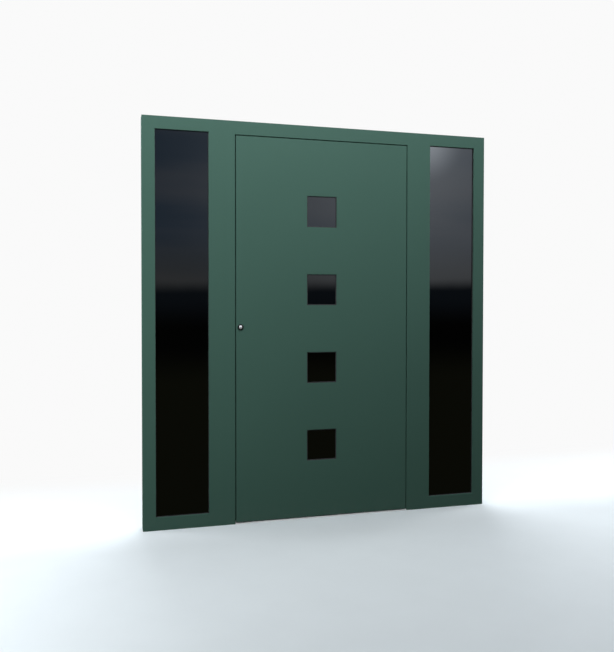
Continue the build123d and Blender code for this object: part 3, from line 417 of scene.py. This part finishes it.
@dataclass(frozen=True)
class CastMetal(Finish):
    """Plated metal with a finely blasted surface."""

    colour: Colour
    roughness: float
    metallic: float = 1.0
    edge_radius: float = 0.0005
    relief: float = 0.00002
    pit_scale: float = 1400.0
    stain_scale: float = 40.0
    pit_shade: float = 0.08
    stain_shade: float = 0.2
    pit_gloss: float = 0.06
    stain_gloss: float = 0.1

    def build(self) -> bpy.types.Material:
        """Small pits and slow stains over one colour.

        Returns:
            The material.
        """
        material, graph = start_material(self.name)
        place = graph.place()
        pits = graph.noise(place, self.pit_scale, detail=2.0)
        stains = graph.noise(place, self.stain_scale, detail=3.0)
        colour = graph.tint(self.colour, 1.0 + stains.around(self.stain_shade) + pits.around(self.pit_shade))
        rough = self.roughness + stains.around(self.stain_gloss) + pits.around(self.pit_gloss)
        normal = graph.bump(pits, self.relief, graph.eased(self.edge_radius))
        graph.end(graph.surface(Base_Color=colour, Roughness=rough, Metallic=self.metallic, Normal=normal))
        return material


@dataclass(frozen=True)
class Moulded(Finish):
    """Rubber or plastic with a finely pebbled, matt skin and a pale bloom."""

    colour: Colour
    bloom: Colour
    roughness: float
    relief: float = 0.00004
    skin_scale: float = 720.0
    cloud_scale: float = 18.0
    bloom_patches: Span = (0.4, 0.8)
    bloom_share: float = 0.5
    skin_gloss: float = 0.12
    cloud_gloss: float = 0.08

    def build(self) -> bpy.types.Material:
        """Clouds of bloom over the colour, and fine noise for the skin.

        Returns:
            The material.
        """
        material, graph = start_material(self.name)
        place = graph.place()
        skin = graph.noise(place, self.skin_scale, detail=2.0)
        clouds = graph.noise(place, self.cloud_scale, detail=4.0)
        colour = graph.blend(clouds.ramp(*self.bloom_patches) * self.bloom_share, self.colour, self.bloom)
        rough = self.roughness + skin * self.skin_gloss - clouds * self.cloud_gloss
        normal = graph.bump(skin, self.relief)
        graph.end(graph.surface(Base_Color=colour, Roughness=rough, Normal=normal))
        return material


@dataclass(frozen=True)
class Foam(Finish):
    """Rigid foam with cut cells."""

    colour: Colour
    roughness: float = 0.82
    relief: float = 0.0005
    cell_scale: float = 420.0
    cloud_scale: float = 9.0
    floor_shade: float = 0.72
    cell_shade: float = 0.3
    cloud_shade: float = 0.16
    cloud_gloss: float = 0.1

    def build(self) -> bpy.types.Material:
        """Scattered cells darken and dent the surface.

        Returns:
            The material.
        """
        material, graph = start_material(self.name)
        place = graph.place()
        cells = graph.cells(place, self.cell_scale)
        clouds = graph.noise(place, self.cloud_scale, detail=3.0)
        level = self.floor_shade + cells * self.cell_shade + clouds * self.cloud_shade
        colour = graph.tint(self.colour, level)
        rough = self.roughness + clouds * self.cloud_gloss
        normal = graph.bump(cells, self.relief)
        graph.end(graph.surface(Base_Color=colour, Roughness=rough, Normal=normal))
        return material


@dataclass(frozen=True)
class TintedGlass(Finish):
    """Deeply tinted float glass with faint wiping marks."""

    colour: Colour
    roughness: float = 0.012
    ior: float = 1.52
    relief: float = 0.00035
    smear_cells: Triple = (9.0, 9.0, 2.0)
    wave_cells: Triple = (3.0, 3.0, 1.2)
    smear_patches: Span = (0.45, 0.8)
    smear_shade: float = 0.2
    smear_gloss: float = 0.035

    def build(self) -> bpy.types.Material:
        """Smears change the gloss, and slow waves of the float bath bend the reflection.

        Returns:
            The material.
        """
        material, graph = start_material(self.name)
        place = graph.place()
        smear = graph.streaks(place, self.smear_cells, detail=4.0)
        wave = graph.streaks(place, self.wave_cells, detail=1.0)
        rough = self.roughness + smear.ramp(*self.smear_patches) * self.smear_gloss
        colour = graph.tint(self.colour, 1.0 + smear.around(self.smear_shade))
        normal = graph.bump(wave, self.relief)
        graph.end(graph.surface(Base_Color=colour, Roughness=rough, Normal=normal, IOR=self.ior))
        return material


FINISHES: dict[Slot, Finish] = {
    Slot.COAT: PowderCoat("green_powder_coat", (0.060, 0.135, 0.106)),
    Slot.POLYAMIDE: Moulded("glass_filled_polyamide", (0.018, 0.018, 0.018), (0.05, 0.05, 0.05), 0.6),
    Slot.MILL: BrushedMetal("mill_aluminium", (0.62, 0.62, 0.61), Grain.ALONG_Z, 0.4),
    Slot.ANODISED: BrushedMetal("silver_anodised", (0.9, 0.915, 0.92), Grain.ALONG_X, 0.5, 0.2),
    Slot.GLASS: TintedGlass("dark_tinted_glass", (0.0010, 0.0011, 0.0010)),
    Slot.SPACER: Moulded("spacer_bar", (0.014, 0.014, 0.015), (0.03, 0.03, 0.03), 0.5),
    Slot.RUBBER: Moulded("black_rubber", (0.011, 0.011, 0.012), (0.028, 0.028, 0.029), 0.62),
    Slot.PLASTIC: Moulded("grey_plastic", (0.28, 0.28, 0.28), (0.34, 0.34, 0.34), 0.45),
    Slot.FOAM: Foam("insulating_foam", (0.76, 0.7, 0.5)),
    Slot.STAINLESS: BrushedMetal("brushed_stainless", (0.6, 0.6, 0.59), Grain.ALONG_Z, 0.3),
    Slot.ZINC: CastMetal("zinc_plated_steel", (0.55, 0.56, 0.58), 0.4),
    Slot.NICKEL: CastMetal("satin_nickel", (0.93, 0.925, 0.91), 0.32, 0.5),
    Slot.ROSE: CastMetal("black_rose", (0.02, 0.021, 0.022), 0.42),
}


# Meshes


def arc(centre: Sequence[float], radius: float, start: float, stop: float, count: int) -> np.ndarray:
    """Points on a circle: the centre plus the radius times cosine and sine of evenly spaced angles.

    Args:
        centre: The middle of the circle.
        radius: Its radius.
        start: First angle in degrees.
        stop: Last angle in degrees.
        count: How many points.

    Returns:
        An array of points in two dimensions.
    """
    turn = np.radians(np.linspace(start, stop, count))
    return np.asarray(centre) + radius * np.column_stack((np.cos(turn), np.sin(turn)))


def piece(name: str, points: np.ndarray, faces: Sequence[Sequence[int]]) -> bpy.types.Object:
    """Make a mesh object at the origin, smooth but for edges sharper than SHARP_ANGLE degrees.

    Args:
        name: The piece's name.
        points: Its vertices.
        faces: Its faces as vertex numbers.

    Returns:
        The object, linked to the scene.
    """
    mesh = bpy.data.meshes.new(name)
    mesh.from_pydata(points.tolist(), [], [list(map(int, face)) for face in faces])
    mesh.shade_smooth()
    mesh.set_sharp_from_angle(angle=math.radians(SHARP_ANGLE))
    made = bpy.data.objects.new(name, mesh)
    bpy.context.scene.collection.objects.link(made)
    return made


def grid_faces(rows: int, columns: int, close_rows: bool, first: int = 0) -> np.ndarray:
    """Quads of a grid of points whose columns close on themselves.

    Args:
        rows: Stations along the path.
        columns: Points of the closed profile.
        close_rows: True where the path is a loop.
        first: The number of the first point.

    Returns:
        One row of four vertex numbers for each quad.
    """
    station = np.arange(rows if close_rows else rows - 1)[:, None]
    around = np.arange(columns)[None, :]
    following, turned = (station + 1) % rows, (around + 1) % columns
    corners = (
        station * columns + around,
        following * columns + around,
        following * columns + turned,
        station * columns + turned,
    )
    return first + np.stack(corners, -1).reshape(-1, 4)


def capped_faces(rows: int, columns: int, first: int = 0) -> list[list[int]]:
    """Faces of a closed profile carried along an open path, with a cap at each end.

    Args:
        rows: Stations along the path.
        columns: Points of the closed profile.
        first: The number of the first point.

    Returns:
        Vertex numbers of the quads and of the two caps.
    """
    last = first + rows * columns - 1
    caps = [list(range(first, first + columns)), list(range(last, last - columns, -1))]
    return grid_faces(rows, columns, False, first).tolist() + caps


def frame_loop(low: Vector, high: Vector, profile: np.ndarray) -> np.ndarray:
    """A closed profile carried round a rectangle with mitred corners.

    Each profile point is a distance in from the rectangle and a depth. Its path is the rectangle moved
    in by that distance, at that depth, so corner c is at edge plus or minus the distance.

    Args:
        low: Lowest corner of the outer rectangle, in X and Z.
        high: Highest corner.
        profile: Points as distance in and depth.

    Returns:
        Points in four stations of one profile each.
    """
    left = np.array([1.0, -1.0, -1.0, 1.0])[:, None]
    up = np.array([1.0, 1.0, -1.0, -1.0])[:, None]
    x = np.where(left > 0, low.x, high.x) + left * profile[None, :, 0]
    z = np.where(up > 0, low.z, high.z) + up * profile[None, :, 0]
    y = np.broadcast_to(profile[None, :, 1], x.shape)
    return np.stack((x, y, z), -1).reshape(-1, 3)


def outward(made: bpy.types.Object) -> bpy.types.Object:
    """Turn a closed mesh inside out where its volume is negative.

    The volume has the sign of the sum, over all triangles, of corner a times the cross product of b and c.

    Args:
        made: A piece with a closed mesh.

    Returns:
        The same piece with its faces outwards.
    """
    mesh = made.data
    mesh.calc_loop_triangles()
    places = np.empty(len(mesh.vertices) * 3, np.float32)
    mesh.vertices.foreach_get("co", places)
    corners = np.empty(len(mesh.loop_triangles) * 3, np.int32)
    mesh.loop_triangles.foreach_get("vertices", corners)
    a, b, c = np.moveaxis(places.reshape(-1, 3).astype(float)[corners.reshape(-1, 3)], 1, 0)
    if np.einsum("ij,ij->", a, np.cross(b, c)) < 0:
        mesh.flip_normals()
    return made


# Sub-assemblies, with sizes in metres


@dataclass
class Dresser:
    """Gives each piece its finish and its body."""

    materials: dict[Slot, bpy.types.Material]

    def take(self, made: bpy.types.Object, slot: Slot, body: str, *nodes: str) -> bpy.types.Object:
        """Dress a new piece.

        Args:
            made: The piece.
            slot: Its finish.
            body: The body that it moves with.
            nodes: The nodes that it stands for.

        Returns:
            The piece.
        """
        made.data.materials.append(self.materials[slot])
        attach(made, body)
        if nodes:
            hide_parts(*nodes)
        LOG.info("%s: %s on %s", made.name, slot.value, body)
        return made

    def carry(self, subparts: Sequence[dict[str, str]]) -> None:
        """Dress the nodes of the frame by the record's slots.

        Args:
            subparts: The record's list of nodes and slots.
        """
        for subpart in subparts:
            node = frame["nodes"][subpart["node"]]
            material = self.materials[Slot(subpart["material_slot"])]
            if not node.material_slots:
                node.data.materials.append(material)
            for place in node.material_slots:
                place.material = material
            LOG.info("%s: %s", node.name, material.name)


@dataclass
class GlazingSeals:
    """The soft seals that hold the sidelight glass, each a bulb-nosed ring with two fine lips."""

    sides: tuple[str, ...] = ("left_outer", "right_outer", "left_inner", "right_inner")
    width: float = 0.013
    fullness: float = 0.98
    lip_turn: float = 60.0
    lip_points: int = 7

    def profile(self, front: float, back: float) -> np.ndarray:
        """A flat foot and a nose of two rounded lips with a groove between them.

        Args:
            front: Lowest depth.
            back: Highest depth.

        Returns:
            Points as distance in and depth.
        """
        quarter = (back - front) / 4
        radius = quarter * self.fullness
        tip = self.width - radius
        low = arc((tip, front + quarter), radius, -90, self.lip_turn, self.lip_points)
        high = arc((tip, back - quarter), radius, -self.lip_turn, 90, self.lip_points)
        return np.vstack(([(0.0, back), (0.0, front)], low, high))

    def build(self, dress: Dresser) -> None:
        """Make a ring for each gasket and let it stand for the plain one.

        Args:
            dress: Gives the finish and the body.
        """
        for node in (f"{side}_gasket" for side in self.sides):
            low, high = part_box(node)
            profile = self.profile(low.y, high.y)
            points = frame_loop(low, high, profile)
            ring = piece(f"{node}_ring", points, grid_faces(4, len(profile), True))
            dress.take(outward(ring), Slot.RUBBER, "frame", node)


@dataclass
class WindowSeals:
    """The thin seals behind the sheet round each square window."""

    node: str = "window_seals"
    count: int = 4
    outer: float = 0.186
    width: float = 0.011
    nose_points: int = 9

    def build(self, dress: Dresser) -> None:
        """Carry a rounded nose round each square, at equal steps from the lowest to the highest.

        Args:
            dress: Gives the finish and the body.
        """
        low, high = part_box(self.node)
        radius = (high.y - low.y) / 2
        nose = arc((self.width - radius, low.y + radius), radius, -90, 90, self.nose_points)
        profile = np.vstack(([(0.0, high.y), (0.0, low.y)], nose))
        levels = np.linspace(low.z, high.z - self.outer, self.count)
        rings, faces = [], []
        for number, level in enumerate(levels):
            corner = Vector((low.x, 0.0, level))
            rings.append(frame_loop(corner, corner + Vector((self.outer, 0.0, self.outer)), profile))
            faces.append(grid_faces(4, len(profile), True, number * 4 * len(profile)))
        made = piece("window_seal_rings", np.vstack(rings), np.vstack(faces))
        dress.take(outward(made), Slot.RUBBER, "leaf", self.node)


@dataclass
class StopSeal:
    """The bulb seal on the frame's stop, round three sides of the leaf."""

    node: str = "stop_gasket"
    width: float = 0.010
    foot: float = 0.0022
    bulb_share: float = 0.62
    bulb_arc: Span = (-35.0, 215.0)
    bulb_points: int = 17

    def build(self, dress: Dresser) -> None:
        """Carry a foot with a rounded bulb up, across and down, mitred at the upper corners.

        A profile point at distance u from the opening runs on the line that is u outside of it.

        Args:
            dress: Gives the finish and the body.
        """
        low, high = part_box(self.node)
        ledge = low.y + self.foot
        radius = (high.y - ledge) * self.bulb_share
        bulb = arc((self.width / 2, high.y - radius), radius, *self.bulb_arc, self.bulb_points)
        foot = [(0.0, low.y), (self.width, low.y), (self.width, ledge)]
        profile = np.vstack((foot, bulb, [(0.0, ledge)]))
        out = profile[:, 0] - self.width
        side = np.array([-1.0, -1.0, 1.0, 1.0])[:, None]
        top = np.array([0.0, 1.0, 1.0, 0.0])[:, None]
        x = side * (high.x + out[None, :])
        z = np.where(top > 0, high.z + out[None, :], low.z)
        y = np.broadcast_to(profile[None, :, 1], x.shape)
        points = np.stack((x, y, z), -1).reshape(-1, 3)
        made = piece("stop_seal_bulb", points, capped_faces(4, len(profile)))
        dress.take(outward(made), Slot.RUBBER, "frame", self.node)


@dataclass
class SweepSeal:
    """The two blades under the leaf, each a foot that tapers to a round tip with ribs along it."""

    node: str = "bottom_seal"
    width: float = 0.009
    tip: float = 0.0016
    taper: float = 1.5
    rib: float = 0.00015
    ribs: int = 4
    steps: int = 9

    def build(self, dress: Dresser) -> None:
        """Carry a tapered profile along X.

        With the drop from 0 at the foot to 1 at the tip, the half width is half the foot times the power of
        1 less the drop, plus the tip, and no more than half the foot. A sine of the drop adds the ribs.

        Args:
            dress: Gives the finish and the body.
        """
        low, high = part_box(self.node)
        drop = np.linspace(0.0, 1.0, self.steps)
        half = np.minimum(self.width / 2 * (1 - drop) ** self.taper + self.tip, self.width / 2)
        half = half + self.rib * np.sin(drop * self.ribs * 2 * math.pi) * drop * (1 - drop)
        level = high.z + drop * (low.z - high.z)
        profile = np.column_stack((np.concatenate((half, -half[::-1])), np.concatenate((level, level[::-1]))))
        count = len(profile)
        ends = np.repeat([low.x, high.x], count)
        both = np.vstack((profile, profile))
        blades, faces = [], []
        for number, y in enumerate((low.y + self.width / 2, high.y - self.width / 2)):
            blades.append(np.column_stack((ends, both[:, 0] + y, both[:, 1])))
            faces += capped_faces(2, count, number * 2 * count)
        made = piece("sweep_blades", np.vstack(blades), faces)
        dress.take(outward(made), Slot.RUBBER, "leaf", self.node)


@dataclass
class LockNose:
    """The domed front of the lock cylinder: the plug's face with its keyway, and the rim round it."""

    node: str = "key_plug"
    rim_radius: float = 0.0085
    plug_radius: float = 0.0064
    bore_radius: float = 0.0066
    keyway_half: Span = (0.0011, 0.00425)
    rise: float = 0.0020
    brim: float = 0.0003
    stations: int = 24
    steps: tuple[float, ...] = (0.0, 0.0, 0.04, 0.25, 0.5, 0.75, 0.96, 1.0, 1.0)

    def dome(self, radius: np.ndarray) -> np.ndarray:
        """Height over the plug's front: a brim and a spherical cap that is nought at the rim."""
        sphere = (self.rim_radius**2 + self.rise**2) / (2 * self.rise)
        return self.brim + np.sqrt(sphere**2 - radius**2) - (sphere - self.rise)

    def ring(self, inner: np.ndarray, outer: np.ndarray) -> np.ndarray:
        """A domed ring between two outlines of matching points round the axis.

        The top runs straight from one outline to the other and is lifted by the dome. Both edges are eased
        and drop to the plug's front, where the foot closes the profile.

        Args:
            inner: Inner outline in X and Z from the axis.
            outer: Outer outline.

        Returns:
            Stations of one closed profile each.
        """
        low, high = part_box(self.node)
        share = np.array(self.steps)[None, :, None]
        flat = inner[:, None, :] * (1 - share) + outer[:, None, :] * share
        rise = self.dome(np.hypot(flat[..., 0], flat[..., 1]))
        rise[:, [1, -2]] -= self.brim / 2
        rise[:, [0, -1]] = 0.0
        x = flat[..., 0] + (low.x + high.x) / 2
        z = flat[..., 1] + (low.z + high.z) / 2
        return np.stack((x, low.y - rise, z), -1).reshape(-1, 3)

    def angles(self) -> np.ndarray:
        """Directions round the axis with one at each corner of the keyway.

        Returns:
            Angles in radians, evenly spaced from each corner to the next.
        """
        corner = math.atan2(self.keyway_half[1], self.keyway_half[0])
        corners = np.array([-corner, corner, math.pi - corner, math.pi + corner])
        ends = np.append(corners[1:], corners[0] + 2 * math.pi)
        share = np.linspace(0.0, 1.0, self.stations, endpoint=False)
        return (corners[:, None] + (ends - corners)[:, None] * share).ravel()

    def build(self, dress: Dresser) -> None:
        """Make the plug's face round a rectangular keyway and the rim round a circle.

        In each direction the keyway reaches as far as the smaller of half its width over the cosine and half
        its height over the sine.

        Args:
            dress: Gives the finish and the body.
        """
        turn = self.angles()
        circle = np.column_stack((np.cos(turn), np.sin(turn)))
        reach = np.min(np.array(self.keyway_half) / np.maximum(np.abs(circle), TINY), axis=1)
        keyway = circle * reach[:, None]
        parts = (
            ("plug_face", "key_plug", keyway, circle * self.plug_radius),
            ("cylinder_rim", "leaf", circle * self.bore_radius, circle * self.rim_radius),
        )
        for name, body, inner, outer in parts:
            points = self.ring(inner, outer)
            faces = grid_faces(len(turn), len(self.steps), True)
            dress.take(outward(piece(name, points, faces)), Slot.NICKEL, body)


# Stage, with places in metres and power in watts


def sheet(name: str, corners: Sequence[Sequence[float]], material: bpy.types.Material) -> bpy.types.Object:
    """Make a flat stage piece.

    Args:
        name: The piece's name.
        corners: Its four corners in order.
        material: Its finish.

    Returns:
        The piece.
    """
    made = piece(name, np.array(corners, float), [(0, 1, 2, 3)])
    made.data.materials.append(material)
    return made


@dataclass
class Floor:
    """A pale floor that fades into the surround behind the door and far away."""

    surround: Colour
    colour: Colour = (0.60, 0.655, 0.685)
    half: float = 14.0
    roughness: float = 0.75
    cloud_scale: float = 5.0
    cloud_shade: float = 0.06
    # Painted light: over this span of depth the floor grows paler towards the door, by this share, where the
    # door's shadow falls.
    painted_light_span: Span = (-0.36, 0.06)
    painted_light_share: float = 0.24
    behind: Span = (0.05, 1.3)
    far: Span = (2.4, 4.0)

    def build(self) -> None:
        """Lay the floor, lifted by painted light by the door against the door's shadow, and keep it out of
        reflections and bounced light.
        """
        material, graph = start_material("pale_floor")
        place = graph.place()
        x, y, _ = graph.axes(place)
        clouds = graph.noise(place, self.cloud_scale, detail=4.0)
        # Painted light: the floor's colour is lifted towards the door, where the door casts its shadow on the
        # floor.
        level = 1.0 + clouds.around(self.cloud_shade) + y.ramp(*self.painted_light_span) * self.painted_light_share
        stone_with_painted_light = graph.tint(self.colour, level)
        plain = graph.surface(Base_Color=stone_with_painted_light, Roughness=self.roughness)
        distance = (x * x + y * y).root()
        fade = y.ramp(*self.behind).largest(distance.ramp(*self.far))
        seen = graph.node("ShaderNodeLightPath", output="Is Camera Ray")
        glow = graph.emission(self.surround)
        graph.end(graph.node("ShaderNodeMixShader", None, {0: fade * seen, 1: plain, 2: glow}))
        h = self.half
        made = sheet("floor", [(-h, -h, 0), (h, -h, 0), (h, h, 0), (-h, h, 0)], material)
        made.visible_glossy = False
        made.visible_diffuse = False


@dataclass(frozen=True)
class Glow:
    """A soft round patch of light on the reflected sky."""

    across: float
    up: float
    radius: float
    strength: float

    def paint(self, x: Flow, z: Flow) -> Flow:
        """Its strength in the middle, falling to nought at its radius."""
        dx, dz = x - self.across, z - self.up
        return (dx * dx + dz * dz).root().ramp(self.radius, 0.0) * self.strength


@dataclass
class Outlook:
    """Cards before and behind the door, for reflections alone: a soft sky over a dark ground."""

    distance: float = 9.0
    half: float = 26.0
    depth: float = 80.0
    cloud_shift: Triple = (0.0, 0.0, 0.33)
    cloud_cells: Triple = (0.12, 1.0, 0.75)
    cloud_patches: Span = (0.36, 0.66)
    clear_sky: Colour = (0.26, 0.4, 0.6)
    cloud: Colour = (0.58, 0.66, 0.8)
    haze: Colour = (0.5, 0.5, 0.48)
    haze_levels: Span = (2.6, 1.5)
    haze_share: float = 0.75
    glow_colour: Colour = (0.93, 1.0, 1.08)
    zenith_levels: Span = (5.0, 8.0)
    zenith_strength: float = 1.2
    horizon: float = 1.38
    horizon_depth: float = 0.28
    horizon_slope: float = 0.0165
    ragged_scale: float = 0.9
    ragged_height: float = 0.1
    dark: Colour = (0.002, 0.002, 0.002)
    olive: Colour = (0.055, 0.058, 0.03)
    olive_levels: Span = (0.5, -0.3)
    dusk: Colour = (0.05, 0.07, 0.1)
    dusk_levels: Span = (0.7, 1.35)
    glows: tuple[Glow, ...] = (
        Glow(4.4, 4.5, 5.2, 1.15),
        Glow(4.4, 4.5, 2.4, 0.75),
        Glow(4.75, 4.35, 0.9, 3.5),
    )

    def sky(self, graph: Graph, place: Flow) -> Flow:
        """Streaks of cloud over a clear sky, haze above the horizon, and glows.

        Args:
            graph: The card's graph.
            place: The point on the card.

        Returns:
            The colour of the sky.
        """
        x, _, z = graph.axes(place)
        moved = graph.vector("SUBTRACT", place, self.cloud_shift)
        streaks = graph.streaks(moved, self.cloud_cells, detail=4.0)
        sky = graph.blend(streaks.ramp(*self.cloud_patches), self.clear_sky, self.cloud)
        sky = graph.blend(z.ramp(*self.haze_levels) * self.haze_share, sky, self.haze)
        light = z.ramp(*self.zenith_levels) * self.zenith_strength
        for glow in self.glows:
            light = light + glow.paint(x, z)
        return graph.blend(1.0, sky, graph.tint(self.glow_colour, light), "ADD")

    def ground(self, graph: Graph, z: Flow) -> Flow:
        """Olive low down, then black, then a bluish dusk up to the horizon."""
        ground = graph.blend(z.ramp(*self.olive_levels), self.dark, self.olive)
        return graph.blend(z.ramp(*self.dusk_levels), ground, self.dusk)

    def build(self) -> None:
        """Paint one material and hang both cards."""
        material, graph = start_material("reflection_card")
        place = graph.place()
        x, _, z = graph.axes(place)
        ragged = graph.noise(place, self.ragged_scale, detail=3.0) * self.ragged_height
        level = z - x * self.horizon_slope + ragged
        above = level.ramp(self.horizon, self.horizon + self.horizon_depth)
        graph.end(graph.emission(graph.blend(above, self.ground(graph, z), self.sky(graph, place))))
        h, low = self.half, -self.depth
        for name, y in (("reflection_card", -self.distance), ("inner_reflection_card", self.distance)):
            made = sheet(name, [(-h, y, low), (h, y, low), (h, y, h), (-h, y, h)], material)
            made.visible_camera = False
            made.visible_diffuse = False
            made.visible_transmission = False
            made.visible_shadow = False


@dataclass(frozen=True)
class Lamp:
    """A soft rectangular lamp; where it isn't mirrored, no reflection shows it."""

    name: str
    place: Triple
    aim: Triple
    size: Span
    power: float
    mirrored: bool = True

    def build(self) -> None:
        """Hang the lamp and turn it to its aim."""
        data = bpy.data.lights.new(self.name, "AREA")
        data.shape = "RECTANGLE"
        data.size, data.size_y = self.size
        data.energy = self.power
        made = bpy.data.objects.new(self.name, data)
        made.visible_glossy = self.mirrored
        made.location = self.place
        made.rotation_euler = (Vector(self.aim) - Vector(self.place)).to_track_quat("-Z", "Y").to_euler()
        bpy.context.scene.collection.objects.link(made)


@dataclass
class Studio:
    """A pale floor, soft lamps, a pale surround and the outlook that the glass reflects."""

    surround: Colour = (0.955, 0.955, 0.955)
    fill: float = 0.03
    lamps: tuple[Lamp, ...] = (
        Lamp("key", (-0.4, -1.9, 4.05), (0.0, 0.0, 2.3), (4.5, 1.4), 121.0),
        Lamp("side", (-2.5, -1.5, 1.1), (-1.0, 0.0, 1.0), (1.2, 1.2), 21.5, False),
        Lamp("back", (0.4, 3.2, 3.8), (0.0, 0.0, 1.2), (4.0, 2.0), 165.0),
        Lamp("left", (-4.0, 0.7, 2.4), (-1.0, 0.0, 1.1), (1.6, 1.6), 80.0),
        Lamp("right", (4.0, 0.7, 2.4), (1.0, 0.0, 1.1), (1.6, 1.6), 80.0),
    )

    def world(self) -> None:
        """A surround that is pale to the eye and in reflections, and lights the door only faintly."""
        world = bpy.data.worlds.new("surround")
        bpy.context.scene.world = world
        world.use_nodes = True
        graph = Graph(world.node_tree)
        path = graph.node("ShaderNodeLightPath").socket.node.outputs
        seen = Flow(graph, path["Is Camera Ray"])
        for name in ("Is Glossy Ray", "Is Transmission Ray"):
            seen = seen.largest(Flow(graph, path[name]))
        level = self.fill + seen * (1.0 - self.fill)
        graph.end(graph.node("ShaderNodeBackground", None, {"Color": self.surround, "Strength": level}))

    def build(self) -> None:
        """Make the floor, the outlook, the lamps and the surround."""
        Floor(self.surround).build()
        Outlook().build()
        for lamp in self.lamps:
            lamp.build()
        self.world()


@dataclass
class Viewpoint:
    """The camera, with sizes in pixels of a picture of 614 by 652."""

    place: Triple = (-1.1953, -3.9543, 1.2228)
    yaw: float = 0.272916
    pitch: float = 0.019683
    roll: float = 0.000661
    focus: float = 726.5
    middle_row: float = 315.48
    height: int = 652
    sensor: float = 36.0
    reach: float = 200.0

    def build(self) -> None:
        """Turn the camera by yaw, pitch and roll and shift it to the picture's middle row."""
        level = math.cos(self.pitch)
        forward = Vector((math.sin(self.yaw) * level, math.cos(self.yaw) * level, -math.sin(self.pitch)))
        right = Vector((math.cos(self.yaw), -math.sin(self.yaw), 0.0))
        up = right.cross(forward)
        turned = math.cos(self.roll) * right + math.sin(self.roll) * up
        upright = math.cos(self.roll) * up - math.sin(self.roll) * right
        data = bpy.data.cameras.new("camera")
        data.sensor_width = self.sensor
        data.lens = self.focus * self.sensor / self.height
        data.shift_y = (self.middle_row - self.height / 2) / self.height
        data.clip_end = self.reach
        made = bpy.data.objects.new("camera", data)
        turn = Matrix((turned, upright, -forward)).transposed().to_4x4()
        made.matrix_world = Matrix.Translation(self.place) @ turn
        bpy.context.scene.collection.objects.link(made)
        bpy.context.scene.camera = made


def main() -> None:
    """Dress the door, build its seals and lock nose, and set the stage."""
    logging.basicConfig(level=logging.INFO, format="%(message)s")
    bpy.context.scene.view_settings.view_transform = "Standard"
    Viewpoint().build()
    dresser = Dresser({slot: finish.build() for slot, finish in FINISHES.items()})
    dresser.carry(frame["record"]["subparts"])
    for assembly in (GlazingSeals(), WindowSeals(), StopSeal(), SweepSeal(), LockNose()):
        assembly.build(dresser)
    Studio().build()


if __name__ == "__main__":
    main()
